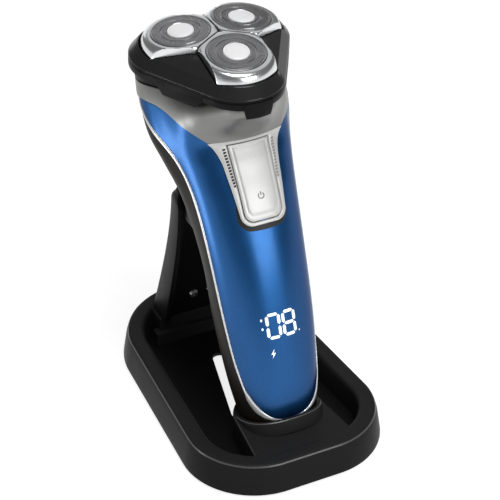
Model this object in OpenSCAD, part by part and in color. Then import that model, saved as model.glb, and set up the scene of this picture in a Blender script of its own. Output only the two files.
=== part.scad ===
// Rotary electric shaver docked in its charging stand.
// Millimetres, +Z up. The shaver's front faces -Y and the feet rest on z = 0.

/* [Stand] */
// Half width of the stand at its front corners
stand_front_half = 41.6; // [40:0.2:48]
// Half width of the stand at its rear corners
stand_rear_half = 37.4; // [36.6:0.2:44]
// Depth of the stand from front to back
stand_depth = 130; // [126:1:150]
// Plan radius of the front corners
front_corner_r = 30; // [24:1:36]
// Plan radius of the rear corners
rear_corner_r = 36; // [28:0.5:36.5]
// Height of the rim above the table
rim_h = 14; // [13:0.5:16]
// Width of the rim from its outer foot to its inner wall
rim_w = 9.6; // [8.6:0.2:11]
// Inward slope of the rim's outer wall
rim_draft = 2.2; // [1:0.1:3]
// Moulded wall thickness of the stand
stand_wall = 2; // [1.6:0.1:2.2]
// Thickness of the bottom plate
plate_t = 1.5; // [1.2:0.1:1.8]
// Height of the rubber feet
foot_h = 1; // [0.6:0.1:1.2]
// Diameter of the rubber feet
foot_d = 7; // [5:0.5:8]
// Half width of the front deck at the cup
deck_half = 18.2; // [17.8:0.2:20]
// Extra half width of the deck at the front rim
deck_flare = 2.8; // [0:0.2:5]
// Half width of the opening in the bottom plate
opening_half = 12; // [8:0.5:14]
// Length of the opening in the bottom plate
opening_len = 40; // [30:1:44]

/* [Dock] */
// Backward lean of the docked shaver
lean = 18.8; // [17:0.2:20]
// Distance of the shaver's bottom ahead of the stand's middle
dock_ahead = 32; // [30:0.5:34]
// Height of the shaver's bottom above the table
dock_z = 10.7; // [10.2:0.1:12]
// Height of the cup's lip along the shaver
cup_h = 4; // [3:0.5:6]
// Wall thickness of the cup's band
cup_wall = 2.2; // [1.6:0.1:2.6]
// Gap between the shaver and its cup
cup_gap = 0.45; // [0.35:0.05:0.7]
// Diameter of the charging pins
pin_d = 1.6; // [1:0.1:2]
// Spacing of the charging pins
pin_pitch = 8; // [6:0.5:10]
// Length of the charging pins inside the shaver
pin_rise = 2.4; // [1.5:0.1:2.6]
// Bore of the power inlet
inlet_bore = 3.4; // [2.5:0.1:4]
// Barrel diameter of the power inlet
inlet_d = 6.4; // [5.5:0.1:7]

/* [Post] */
// Half width of the post at its foot
post_foot_half = 16.8; // [15:0.2:17.6]
// Half width of the post at its top
post_top_half = 21.5; // [18:0.5:22.5]
// Depth of the post at its foot
post_foot_depth = 14; // [12:0.5:16]
// Depth of the post at its top
post_top_depth = 8; // [7:0.5:10]
// Depth of the recess in the post's front
post_recess = 2.6; // [1.5:0.1:3]
// Width of the post's side flanges
flange_w = 2.6; // [2:0.1:3.5]
// Forward step at the post's foot
foot_step = 2.5; // [1:0.1:3]
// Height of the step at the post's foot above the table
foot_step_z = 8.3; // [6:0.1:10]
// Rise of the post above the middle of its pad
post_rise = 13; // [9:0.5:14]
// Half height of the back pad
pad_half = 8; // [5:0.5:9]
// Angle that the pad wraps round the shaver's back, to each side
pad_wrap = 48; // [24:4:52]
// Height along the shaver at which the pad meets its back
pad_u = 84; // [78:1:88]
// Depth of the back pad
pad_t = 6; // [4:0.5:8]
// Gap between the pad and the shaver's back
pad_gap = 0.4; // [0.35:0.05:0.8]
// Height of the post screws above the rim
post_screw_rise = 12; // [8:1:16]
// Spacing of the post screws
post_screw_pitch = 8; // [6:0.5:12]

/* [Handle] */
// Length of the handle up to the collar's top
handle_len = 139; // [136:1:142]
// Half width of the grip
grip_half = 20.3; // [19.6:0.1:22]
// Depth of the grip ahead of its axis
grip_front = 18.4; // [17.8:0.1:20]
// Depth of the grip behind its axis
grip_back = 19; // [18.4:0.1:20]
// Wall thickness of the shells
shell_wall = 1.8; // [1.4:0.1:2]
// Width of the bright trim between the shells
trim_w = 1.2; // [0.8:0.1:2]
// Step of the trim above the shells
trim_step = 0.3; // [0.1:0.05:0.6]
// Gap left at the seams between shells
seam_gap = 0.1; // [0.06:0.02:0.2]
// Height at which the front shell begins
front_shell_low = 3.4; // [3:0.1:5]
// Rise of the front shell's lower corners
front_corner_rise = 15; // [8:0.5:18]
// Length of the collar at the front, below the handle's top
collar_front_len = 20; // [18:0.5:22]
// Length of the collar at the sides and back, below the handle's top
collar_side_len = 6; // [5:0.5:9]
// Angle over which the collar's lower edge rises from the tongue to the side
collar_sweep = 56; // [40:2:60]
// Step of the collar above the shells
collar_step = 0.5; // [0.2:0.1:0.9]

/* [Button] */
// Length of the tongue below the collar
tongue_len = 35; // [32:0.5:39]
// Half width of the tongue at its lower end
tongue_half = 8.9; // [8.6:0.1:9.6]
// Extra half width of the tongue at the collar
tongue_taper = 3.6; // [2:0.1:5]
// Further half width where the tongue runs out into the collar
tongue_flare = 2.4; // [0:0.1:3]
// Step of the tongue above the front shell
tongue_step = 1.5; // [1.4:0.1:2]
// Width of the tongue's frame at its lower end
tongue_frame = 1; // [0.8:0.1:2]
// Gap around the power button
button_gap = 0.4; // [0.35:0.05:0.6]
// Thickness of the power button
button_t = 0.6; // [0.55:0.05:0.8]
// Travel of the power button
button_travel = 0.45; // [0.3:0.05:0.55]

/* [Head] */
// Rise of the cutting plane above the handle's top, along the handle's axis
head_rise = 16.3; // [15.8:0.1:17]
// Forward tilt of the head
head_tilt = 21.8; // [20:0.2:23]
// Distance of each shaving cell from the head's axis
cell_r = 14.66; // [14.4:0.02:15]
// Outward tilt of each shaving cell
cell_tilt = 6; // [4:0.5:7]
// Diameter of the steel guards
guard_d = 22.8; // [22:0.1:23.2]
// Diameter of the bright guard caps
cap_d = 10.2; // [8:0.1:10.6]
// Number of slots in each guard
guard_slots = 24; // [12:1:36]
// Diameter of the chrome cell rings
ring_d = 32; // [31:0.1:32.4]
// Half width of the cell rings between their side flats
ring_half = 12.4; // [12:0.1:13]
// Drop of the chrome cell rings' skirts
ring_drop = 5; // [4:0.1:5.4]
// Gap between neighbouring cell rings
ring_gap = 0.6; // [0.5:0.05:1]
// Inward travel of each shaving cell
cell_travel = 1.2; // [0.8:0.1:1.3]
// Distance of the collar's corner centres from its axis
corner_r = 21; // [20.4:0.1:21.4]
// Corner radius of the collar
corner_c = 11.5; // [11.2:0.1:12.4]
// Distance of the head's corner centres from its axis
head_corner_r = 17; // [16.6:0.1:17.6]
// Corner radius of the head at its widest
head_corner_c = 17.5; // [17.2:0.1:18]
// Depth of the head's widest line below the cutting plane
head_wide_z = 9.4; // [9:0.1:10]
// Depth of the chamfer that leads up to the cells
head_chamfer = 10; // [9:0.1:10.6]
// Wall thickness of the head
head_wall = 1.6; // [1.3:0.1:1.8]
// Gap between head and collar
head_gap = 0.35; // [0.3:0.05:0.6]
// Drop of the grip tabs below the head
tab_drop = 3.4; // [2:0.1:4]
// Number of blades on each cutter
blade_count = 9; // [6:1:12]

/* [Drive] */
// Teeth on the motor pinion
pinion_teeth = 18; // [12:3:21]
// Teeth on each drive gear
gear_teeth = 30; // [27:3:33]
// Face width of the drive gears
gear_w = 2.6; // [2:0.1:3]
// Play left between gear teeth
gear_play = 0.12; // [0.08:0.01:0.2]
// Diameter of the gear axles
axle_d = 2; // [1.5:0.1:2.4]
// Running clearance of axles and shaft, on radius
run_gap = 0.05; // [0.02:0.01:0.08]
// Diameter of the drive spindles
spindle_d = 3; // [2.6:0.1:3.4]
// Diameter of the motor
motor_d = 15; // [13:0.5:15.5]
// Length of the motor
motor_len = 16; // [12:0.5:16.5]
// Diameter of the motor shaft
shaft_d = 2; // [1.5:0.1:2.3]

/* [Electrics] */
// Diameter of the battery cell
battery_d = 14; // [10:0.5:14.5]
// Length of the battery cell
battery_len = 50; // [44:1:54]
// Width of the circuit board
board_w = 23; // [18:0.5:24]
// Thickness of the circuit board
board_t = 1.2; // [0.8:0.1:1.6]
// Height of the circuit board's lower end
board_low = 18; // [16:1:22]
// Length of the circuit board
board_len = 84; // [78:1:86]
// Height of the display's middle
display_u = 43; // [40:1:48]
// Width of the display
display_w = 17; // [14:0.5:19]
// Height of the display
display_h = 14; // [11:0.5:16]

/* [Hidden] */

collar_front_u = handle_len - collar_front_len;
collar_side_u = handle_len - collar_side_len;
tongue_low = collar_front_u - tongue_len;
head_u = handle_len + head_rise;
board_high = board_low + board_len;
plate_top = foot_h + plate_t;
front_y = -stand_depth / 2;
rear_y = stand_depth / 2;
dock_y = -dock_ahead;
post_y = rear_y - 23;
cell_angle = [270, 30, 150];
seg = 72;

// Plan of the stand: centres of the right-hand corner circles and the angle of the side between them
rear_c = [stand_rear_half - rear_corner_r, rear_y - rear_corner_r];
front_c = [stand_front_half - front_corner_r, front_y + front_corner_r];
function side_angle(c1, r1, c2, r2) =
    let (d = c1 - c2) atan2(d[1], d[0]) - acos((r2 - r1) / norm(d));
stand_side = side_angle(rear_c, rear_corner_r, front_c, front_corner_r);
function arc_pts(c, r, a0, a1, n) =
    [for (i = [0:n]) let (a = a0 + (a1 - a0) * i / n) [c[0] + r * cos(a), c[1] + r * sin(a)]];
function mirror_x(p) = [-p[0], p[1]];
function plan(inset, n = 15) = concat(
    arc_pts(rear_c, rear_corner_r - inset, stand_side, 90, n),
    arc_pts(mirror_x(rear_c), rear_corner_r - inset, 90, 180 - stand_side, n),
    arc_pts(mirror_x(front_c), front_corner_r - inset, 180 - stand_side, 270, n),
    arc_pts(front_c, front_corner_r - inset, 270, 360 + stand_side, n));

// Smooth curve through the rows of a table whose first column is the position
function row_slope(t, k) = let (i = max(k - 1, 0), j = min(k + 1, len(t) - 1))
    (t[j] - t[i]) / (t[j][0] - t[i][0]);
function row_span(t, u, k = 0) = (k >= len(t) - 2 || u < t[k + 1][0]) ? k : row_span(t, u, k + 1);
function along(t, u) =
    let (v = min(max(u, t[0][0]), t[len(t) - 1][0]), k = row_span(t, v),
        d = t[k + 1][0] - t[k][0], f = (v - t[k][0]) / d, g = f * f, h = g * f)
    (2 * h - 3 * g + 1) * t[k] + (h - 2 * g + f) * d * row_slope(t, k)
    + (3 * g - 2 * h) * t[k + 1] + (h - g) * d * row_slope(t, k + 1);
function ease(x) = let (c = min(max(x, 0), 1)) c * c * (3 - 2 * c);
function mix(a, b, f) = a + (b - a) * f;

// Handle sections as shares of the named sizes: height, centre, tilt, half width, front depth,
// back depth, squareness, front triangle share, back triangle share
section_shares = [
    [0.000, -1.5, 0.0, 0.59, 0.59, 0.58, 2.60, 0.00, 0.00],
    [0.029, -1.5, 0.0, 0.72, 0.73, 0.68, 2.60, 0.00, 0.00],
    [0.086, -1.5, 0.0, 0.81, 0.88, 0.79, 2.40, 0.00, 0.00],
    [0.180, -1.5, 0.0, 0.89, 0.97, 0.89, 2.25, 0.00, 0.00],
    [0.324, -1.5, 0.0, 0.96, 1.00, 0.98, 2.15, 0.00, 0.00],
    [0.504, -1.0, 0.0, 1.00, 0.97, 1.00, 2.10, 0.00, 0.00],
    [0.683, 0.0, 0.0, 1.03, 0.85, 1.01, 2.10, 0.00, 0.26],
    [0.777, 1.2, 3.0, 1.06, 0.77, 1.08, 2.10, 0.00, 0.60],
    [0.856, 2.8, 7.0, 1.13, 0.77, 1.16, 2.10, 0.05, 0.93],
    [0.935, 4.4, 11.0, 1.33, 1.09, 1.21, 2.20, 0.50, 1.00],
    [1.000, 5.4, 14.3, 1.48, 1.63, 1.26, 2.20, 1.00, 1.00]];
sections = [for (s = section_shares) [s[0] * handle_len, s[1], s[2], s[3] * grip_half,
    s[4] * grip_front, s[5] * grip_back, s[6], s[7], s[8]]];
collar_tilt = sections[len(sections) - 1][2];
collar_centre = sections[len(sections) - 1][1];

// Radius of an oval and of a rounded triangle with one corner to the front, seen at angle a
function oval_radius(a, w, d, n) = 1 / pow(pow(abs(cos(a)) / w, n) + pow(abs(sin(a)) / d, n), 1 / n);
function tri_radius(a, r, c) =
    let (f = abs((a + 510) % 120 - 60), t = atan2(c * sin(60), r + c * cos(60)))
    f < t ? r * cos(f) + sqrt(c * c - pow(r * sin(f), 2)) : (r / 2 + c) / cos(60 - f);
function tri_pts(r, c, n = seg) = [for (i = [0:n - 1]) let (a = 360 * i / n, q = tri_radius(a, r, c))
    [q * cos(a), q * sin(a)]];

// Point of the handle's skin at height u and angle a, moved outwards by off
function skin(u, a, off = 0) =
    let (s = along(sections, u), depth = sin(a) < 0 ? s[4] : s[5],
        m = mix(s[7], s[8], ease((sin(a) + 0.8) / 1.2)),
        r = mix(oval_radius(a, s[3], depth, s[6]), tri_radius(a, corner_r, corner_c), m) + off)
    [r * cos(a), s[1] + r * sin(a) * cos(s[2]), u + r * sin(a) * sin(s[2])];

// Left seam angle of the front shell along the handle, by share of the handle's length
seam_table = [[0, 211], [0.108, 208], [0.216, 200.5], [0.396, 195], [0.612, 189.5], [0.748, 182],
    [0.835, 172], [0.935, 156]];
function seam(u) = along(seam_table, u / handle_len)[1];
function seam_step(w) = w / grip_half * 180 / PI;
function front_angle(p, u) =
    mix(seam(u) + seam_step(trim_w / 2), 540 - seam(u) - seam_step(trim_w / 2), p);
function back_angle(p, u) =
    mix(540 - seam(u) + seam_step(trim_w / 2), 360 + seam(u) - seam_step(trim_w / 2), p);
// Height of the collar's lower edge: level above the tongue, then rising to the sides
function from_front(a) = abs((a + 270) % 360 - 180);
collar_start = face_angle(tongue_half + tongue_taper + tongue_flare, collar_front_u) - 270;
function collar_low(a) = let (t = min(max((from_front(a) - collar_start) / collar_sweep, 0), 1))
    mix(collar_front_u, collar_side_u, 1 - pow(1 - t, 1.7));
function front_low(p) = front_shell_low + front_corner_rise * pow(abs(2 * p - 1), 3.2);
function front_high(p) =
    let (u1 = collar_low(front_angle(p, collar_front_u)), u2 = collar_low(front_angle(p, u1)),
        u3 = collar_low(front_angle(p, u2))) collar_low(front_angle(p, u3)) - seam_gap;

// Frame changes
function to_world(p) = [p[0], dock_y + p[1] * cos(lean) + p[2] * sin(lean),
    dock_z - p[1] * sin(lean) + p[2] * cos(lean)];
function head_to_handle(p) = [p[0], p[1] * cos(head_tilt) - p[2] * sin(head_tilt),
    head_u + p[1] * sin(head_tilt) + p[2] * cos(head_tilt)];
module in_handle() translate([0, dock_y, dock_z]) rotate([-lean, 0, 0]) children();
module in_head() in_handle() translate([0, 0, head_u]) rotate([head_tilt, 0, 0]) children();
module in_cell(i) in_head() rotate([0, 0, cell_angle[i]]) translate([cell_r, 0, 0])
    rotate([0, cell_tilt, 0]) children();
module at_spindle(i) in_head() rotate([0, 0, cell_angle[i]]) translate([cell_r, 0, 0]) children();

// Faces of a grid of points, split into triangles, optionally closed along its columns or rows
function grid_faces(rows, cols, base, flip, wrap_c = false, wrap_r = false, hole = [0, 0, 0, 0]) =
    [for (r = [0:rows - (wrap_r ? 1 : 2)], c = [0:cols - (wrap_c ? 1 : 2)])
        if (!(r >= hole[0] && r < hole[1] && c >= hole[2] && c < hole[3]))
            let (r2 = (r + 1) % rows, c2 = (c + 1) % cols, p = base + r * cols + c,
                q = base + r * cols + c2, s = base + r2 * cols + c, t = base + r2 * cols + c2)
            each flip ? [[p, q, t], [p, t, s]] : [[p, t, q], [p, s, t]]];
function strip_faces(ids, shift, flip) = [for (i = [0:len(ids) - 2])
    let (p = ids[i], q = ids[i + 1]) each flip ? [[p, p + shift, q + shift], [p, q + shift, q]]
        : [[p, q + shift, p + shift], [p, q, q + shift]]];
// Sheet between an outer and an inner grid of points, with an optional opening
module sheet(outer, inner, hole = [0, 0, 0, 0]) {
    rows = len(outer);
    cols = len(outer[0]);
    n = rows * cols;
    edge = concat([for (c = [0:cols - 1]) c], [for (r = [1:rows - 1]) r * cols + cols - 1],
        [for (c = [1:cols - 1]) n - 1 - c], [for (r = [1:rows - 1]) (rows - 1 - r) * cols]);
    lip = hole[1] == 0 ? [] : concat([for (c = [hole[2]:hole[3]]) hole[0] * cols + c],
        [for (r = [hole[0] + 1:hole[1]]) r * cols + hole[3]],
        [for (c = [1:hole[3] - hole[2]]) hole[1] * cols + hole[3] - c],
        [for (r = [1:hole[1] - hole[0]]) (hole[1] - r) * cols + hole[2]]);
    polyhedron(concat([for (r = outer) each r], [for (r = inner) each r]),
        concat(grid_faces(rows, cols, 0, false, hole = hole), grid_faces(rows, cols, n, true, hole = hole),
            strip_faces(edge, n, false), len(lip) == 0 ? [] : strip_faces(lip, n, true)));
}
// Sheet closed around its columns
module band(outer, inner) {
    rows = len(outer);
    cols = len(outer[0]);
    n = rows * cols;
    low = [for (c = [0:cols]) c % cols];
    high = [for (c = [0:cols]) (rows - 1) * cols + c % cols];
    polyhedron(concat([for (r = outer) each r], [for (r = inner) each r]),
        concat(grid_faces(rows, cols, 0, false, true), grid_faces(rows, cols, n, true, true),
            strip_faces(low, n, false), strip_faces(high, n, true)));
}
// Solid through a list of rings, each with the same number of points, lowest ring first
module loft(rings) {
    rows = len(rings);
    cols = len(rings[0]);
    polyhedron([for (r = rings) each r], concat(grid_faces(rows, cols, 0, false, true),
        [[for (c = [0:cols - 1]) c]], [[for (c = [0:cols - 1]) rows * cols - 1 - c]]));
}
function ring_at(u, key, off) = [for (i = [0:seg - 1]) let (s = skin(key, 360 * i / seg, off))
    [s[0], s[1], u]];
function skin_ring(u, off) = [for (i = [0:seg - 1]) skin(u, 360 * i / seg, off)];
function head_ring(z, r, c) = [for (p = tri_pts(r, c)) head_to_handle([p[0], p[1], z])];
// Ring on the collar's slanted top plane, lifted by h
function collar_ring(h, c) = [for (p = tri_pts(corner_r, c)) [p[0],
    collar_centre + p[1] * cos(collar_tilt) - h * sin(collar_tilt),
    handle_len + p[1] * sin(collar_tilt) + h * cos(collar_tilt)]];

// Stand
deck_end = dock_y + grip_back * 0.68 + cup_wall;
deck_turn = dock_y - 1;
function deck_plan(inset) = concat(
    [for (p = arc_pts([0, 0], 1, 0, 180, 16))
        [p[0] * (deck_half - inset), deck_turn + p[1] * (deck_end - deck_turn - inset)]],
    [[-deck_half - deck_flare + inset, front_y + rim_w * 0.7],
        [deck_half + deck_flare - inset, front_y + rim_w * 0.7]]);
boss_spots = [[-13, front_y + 14], [13, front_y + 14], [-10.5, post_y + 7], [10.5, post_y + 7]];
inlet_z = plate_top + 4.4;
inlet_y = rear_y - rim_draft - stand_wall * 0.8 - 0.1;

module rim_ring() {
    t = stand_wall;
    profile = [[0, foot_h], [rim_draft * 0.74, rim_h - 2.6], [rim_draft, rim_h - 0.9],
        [rim_draft + 1.1, rim_h], [rim_w - 1.7, rim_h], [rim_w - 0.7, rim_h - 0.5],
        [rim_w - 0.4, rim_h - 1.4], [rim_w, plate_top], [rim_w - t * 0.7, plate_top],
        [rim_w - t * 0.7 - 0.4, rim_h - t], [rim_draft + t * 0.8, rim_h - t], [t, foot_h]];
    cols = len(plan(0));
    points = [for (q = profile) each [for (p = plan(q[0])) [p[0], p[1], q[1]]]];
    polyhedron(points, grid_faces(len(profile), cols, 0, false, true, true));
}
module above_plate() translate([-100, -100, plate_top]) cube([200, 200, 60]);
module cup_outer() in_handle() loft([ring_at(-10, 4, cup_wall - 1.2), ring_at(-2.2, 4, cup_wall - 0.9),
    ring_at(-2, 4, cup_wall + cup_gap), ring_at(cup_h - 0.5, 4, cup_wall + cup_gap),
    ring_at(cup_h, 4, cup_wall + cup_gap - 0.4)]);
module cup_pocket() in_handle() loft(concat([ring_at(-cup_gap, 0, cup_gap)],
    [for (u = [1, 4, 8, 12, 20, 34]) skin_ring(u, cup_gap)]));
module cup_hollow() in_handle() loft([ring_at(-11, 4, -1.4), ring_at(-2, 4, -1.6)]);
module rear_block(inset, z0, z1) translate([-post_foot_half - 1 + inset, post_y + inset, z0])
    cube([2 * post_foot_half + 2 - 2 * inset, rear_y - rim_w - post_y + 1 - 2 * inset, z1 - z0]);
module stand_base() color("#17181a") resize([0, 0, 0]) difference() {
    union() {
        rim_ring();
        intersection() {
            difference() {
                union() {
                    difference() {
                        linear_extrude(rim_h) polygon(deck_plan(0));
                        translate([0, 0, -1]) linear_extrude(rim_h - stand_wall + 1)
                            polygon(deck_plan(stand_wall));
                    }
                    cup_outer();
                }
                cup_hollow();
            }
            above_plate();
        }
        difference() {
            rear_block(0, plate_top, rim_h);
            rear_block(stand_wall, plate_top - 1, rim_h - stand_wall);
        }
        translate([-post_foot_half - 1 - foot_step, post_y - foot_step, plate_top])
            cube([2 * (post_foot_half + 1 + foot_step), foot_step + stand_wall, foot_step_z - plate_top]);
        for (b = boss_spots) translate([b[0], b[1], plate_top])
            cylinder(r = 2.6, h = rim_h - plate_top - 1, $fn = 20);
    }
    cup_pocket();
    in_handle() for (s = [-1, 1]) translate([s * pin_pitch / 2, 0, -4])
        cylinder(d = pin_d + 0.5, h = 6, $fn = 20);
    for (b = boss_spots) translate([b[0], b[1], 0]) cylinder(r = 1.2, h = plate_top + 7, $fn = 20);
    translate([0, rear_y + 2, inlet_z]) rotate([90, 0, 0])
        cylinder(d = inlet_d + 0.6, h = stand_wall + 4, $fn = 40);
}
opening_rear = [0, dock_y + 16 + opening_len - 3];
opening_front = [opening_half - 4, dock_y + 16];
opening_side = side_angle(opening_rear, 3, opening_front, 4);
module stand_bottom_plate() color("#1b1c1e") difference() {
    translate([0, 0, foot_h]) linear_extrude(plate_t) polygon(plan(stand_wall + 0.2));
    linear_extrude(10) polygon(concat(arc_pts(opening_rear, 3, opening_side, 180 - opening_side, 8),
        arc_pts(mirror_x(opening_front), 4, 180 - opening_side, 270, 6),
        arc_pts(opening_front, 4, 270, 360 + opening_side, 6)));
    for (b = boss_spots) translate([b[0], b[1], 0]) {
        cylinder(r = 1.2, h = 10, $fn = 32);
        cylinder(r = 2.2, h = foot_h + 0.9, $fn = 32);
    }
}
foot_spots = [[-27, front_y + 20], [27, front_y + 20], [-25, rear_y - 27], [25, rear_y - 27]];
module stand_feet() color("#2a2a2c") for (f = foot_spots) translate([f[0], f[1], 0])
    cylinder(d = foot_d, h = foot_h, $fn = 48);
module stand_screws() color("#9a9ca0") {
    bottom_screws();
    post_screws();
}
module bottom_screws() for (b = boss_spots) translate([b[0], b[1], foot_h + 0.1]) difference() {
    union() {
        cylinder(r = 2, h = 0.8, $fn = 32);
        cylinder(r = 1, h = plate_t + 5, $fn = 32);
    }
    translate([-1.3, -0.25, -0.1]) cube([2.6, 0.5, 0.5]);
    translate([-0.25, -1.3, -0.1]) cube([0.5, 2.6, 0.5]);
}
// Post: straight front line from its foot to a point behind the pad
pad_spot = to_world(skin(pad_u, 90, pad_gap + pad_t));
post_top_z = pad_spot[2] + post_rise;
post_lean = (post_y - pad_spot[1]) / (pad_spot[2] - rim_h);
function post_share(z) = (z - rim_h) / (post_top_z - rim_h);
function post_web(z) = post_y - post_lean * (z - rim_h);
function post_half(z) = mix(post_foot_half, post_top_half, pow(post_share(z), 3))
    - 1.5 * pow(ease(post_share(z) * 12 - 11), 2);
function post_front(z) = post_web(z) - post_recess * (1 - 0.8 * ease(post_share(z) * 8 - 7));
function post_back(z) = post_web(z) + mix(post_foot_depth, post_top_depth, post_share(z)) - post_recess
    - 1.5 * pow(ease(post_share(z) * 12 - 11), 2);
post_levels = [for (f = [0, 0.12, 0.25, 0.4, 0.55, 0.7, 0.8, 0.875, 0.92, 0.96, 0.985, 1])
    mix(rim_h, post_top_z, f)];
function post_ring(z) =
    let (h = post_half(z), f = post_front(z), b = post_back(z), w = post_web(z),
        right = [[h - flange_w - 0.3, w], [h - flange_w, f], [h - 0.7, f], [h, f + 0.7], [h, b - 2.4],
            [h - 0.8, b - 0.7],
            [h - 2.4, b], [h - flange_w - 1, b], [h - flange_w - 1.2, w + 2.6]])
    [for (p = concat(right, [for (i = [len(right) - 1:-1:0]) mirror_x(right[i])])) [p[0], p[1], z]];
post_screw_z = rim_h + post_screw_rise;
module post_screw_frame() for (s = [-1, 1])
    translate([s * post_screw_pitch / 2, post_web(post_screw_z), post_screw_z])
    rotate([-90 + atan(post_lean), 0, 0]) children();
module post_body() {
    rings = [for (z = post_levels) post_ring(z)];
    n = len(rings[0]);
    end = (len(rings) - 1) * n;
    cap = concat([for (i = [1:7]) [0, i, i + 1]], [for (i = [9:15]) [17, i, i + 1]],
        [[0, 8, 9], [0, 9, 17]]);
    polyhedron([for (r = rings) each r], concat(grid_faces(len(rings), n, 0, false, true), cap,
        [for (f = cap) [end + f[2], end + f[1], end + f[0]]]));
}
// Notch in the post's top, under the back of the leaning shaver
module post_notch() in_handle()
    loft([for (step = [2, 8, 14, 20, 26]) skin_ring(pad_u + step, 0.8)]);
module stand_post() color("#141517") difference() {
    post_body();
    post_notch();
    post_screw_frame() translate([0, 0, -0.5]) cylinder(r = 1.1, h = 8, $fn = 32);
}
module post_back_cover() color("#141517") loft([for (z = post_levels) if (post_share(z) < 0.93)
    let (h = post_half(z) - flange_w - 1.3, b = post_back(z))
        [[h, b - 1.6, z], [h, b - 0.1, z], [-h, b - 0.1, z], [-h, b - 1.6, z]]]);
module post_screws() post_screw_frame() {
    difference() {
        translate([0, 0, -1]) cylinder(r1 = 1.6, r2 = 2.1, h = 1, $fn = 32);
        translate([-1.2, -0.25, -1.1]) cube([2.4, 0.5, 0.5]);
        translate([-0.25, -1.2, -1.1]) cube([0.5, 2.4, 0.5]);
    }
    cylinder(r = 1, h = 2.2, $fn = 32);
}
module post_pad() color("#6d6f73") {
    rows = [for (j = [0:6]) [for (i = [0:14])
        to_world(skin(pad_u - pad_half + pad_half * j / 3, 90 - pad_wrap + pad_wrap * i / 7, pad_gap))]];
    backs = [for (r = rows) [for (p = r) [p[0], post_web(p[2]), p[2]]]];
    sheet(backs, rows);
}
module charge_pins() color("#c9a24a") in_handle() for (s = [-1, 1])
    translate([s * pin_pitch / 2, 0, -3.4]) {
    cylinder(d = pin_d, h = 3.4 + pin_rise - 0.5, $fn = 32);
    translate([0, 0, 3.4 + pin_rise - 0.5]) cylinder(d1 = pin_d, d2 = pin_d - 0.6, h = 0.5, $fn = 32);
}
module charge_board() color("#1f6b3a") in_handle() translate([-9, -5, -4.6]) cube([18, 9, 1.2]);
module power_inlet() color("#202124") translate([0, inlet_y, inlet_z]) rotate([-90, 0, 0]) {
    difference() {
        union() {
            translate([-4.2, -3.6, -3.6]) cube([8.4, 7.6, 3.6]);
            cylinder(d = inlet_d, h = rear_y - 1 - inlet_y, $fn = 48);
        }
        translate([0, 0, -2.6]) cylinder(d = inlet_bore, h = 10, $fn = 48);
    }
    translate([0, 0, -2.7]) cylinder(d = 1.1, h = rear_y - 2 - inlet_y + 2.7, $fn = 32);
}

// Shaver handle
front_cols = 36;
front_rows = 24;
function front_grid(off) = [for (j = [0:front_rows]) [for (i = [0:front_cols])
    let (p = i / front_cols, u = mix(front_low(p), front_high(p), j / front_rows))
        skin(u, front_angle(p, u), off)]];
module front_shell() color("#2f6fb0") in_handle()
    sheet(front_grid(0), front_grid(-shell_wall), [19, 21, front_cols / 2 - 2, front_cols / 2 + 2]);
function back_grid(off) = [for (j = [0:front_rows]) [for (i = [0:30])
    let (p = i / 30, u = mix(front_shell_low - 1, collar_side_u - seam_gap, j / front_rows))
        skin(u, back_angle(p, u), off)]];
module back_shell() color("#1a1b1d") in_handle() sheet(back_grid(0), back_grid(-shell_wall));
// Trim: inner edge beside the front shell, outer edge beside the back shell and the bottom cap
trim_low = front_shell_low - 1;
trim_turn = front_low(0);
function trim_side(u) = seam(u) - seam_step(trim_w / 2 - seam_gap);
function trim_inner(k) = k <= 24
    ? let (u = mix(collar_side_u - seam_gap, trim_turn, k / 24))
        [u, seam(u) + seam_step(trim_w / 2 - seam_gap)]
    : let (p = (k - 24) / 48, u = front_low(p) - seam_gap)
        [u, front_angle(p, u) - seam_step(seam_gap) * (1 - 2 * p)];
function trim_outer(k) = k <= 24
    ? let (u = mix(collar_side_u - seam_gap, trim_turn, k / 24)) [u, trim_side(u)]
    : let (p = (k - 24) / 48, f = min(p / 0.14, 1), u = mix(trim_turn, trim_low, f), a = trim_side(u))
        [u, p <= 0.14 ? a : mix(a, 270, (p - 0.14) / 0.36)];
function trim_edge(k, inner) = k <= 48 ? (inner ? trim_inner(k) : trim_outer(k))
    : let (e = inner ? trim_inner(96 - k) : trim_outer(96 - k)) [e[0], 540 - e[1]];
function trim_grid(off) = [for (j = [0:2]) [for (k = [0:96])
    let (e = mix(trim_edge(k, false), trim_edge(k, true), j / 2)) skin(e[0], e[1], off)]];
module side_trim() color("#c9ccd0") in_handle() sheet(trim_grid(trim_step), trim_grid(-shell_wall + 0.4));
function collar_off(a, f) = mix(mix(collar_step, tongue_step,
    ease((collar_start + 14 - from_front(a)) / 20)), 0, pow(f, 1.5));
function collar_grid(inner) = [for (j = [0:6]) [for (i = [0:seg - 1])
    let (a = 360 * i / seg, u = mix(collar_low(a), handle_len, j / 6))
    skin(u, a, inner ? -shell_wall : collar_off(a, j / 6))]];
module neck_collar() color("#b4b7ba") in_handle() band(collar_grid(false), collar_grid(true));
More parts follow.
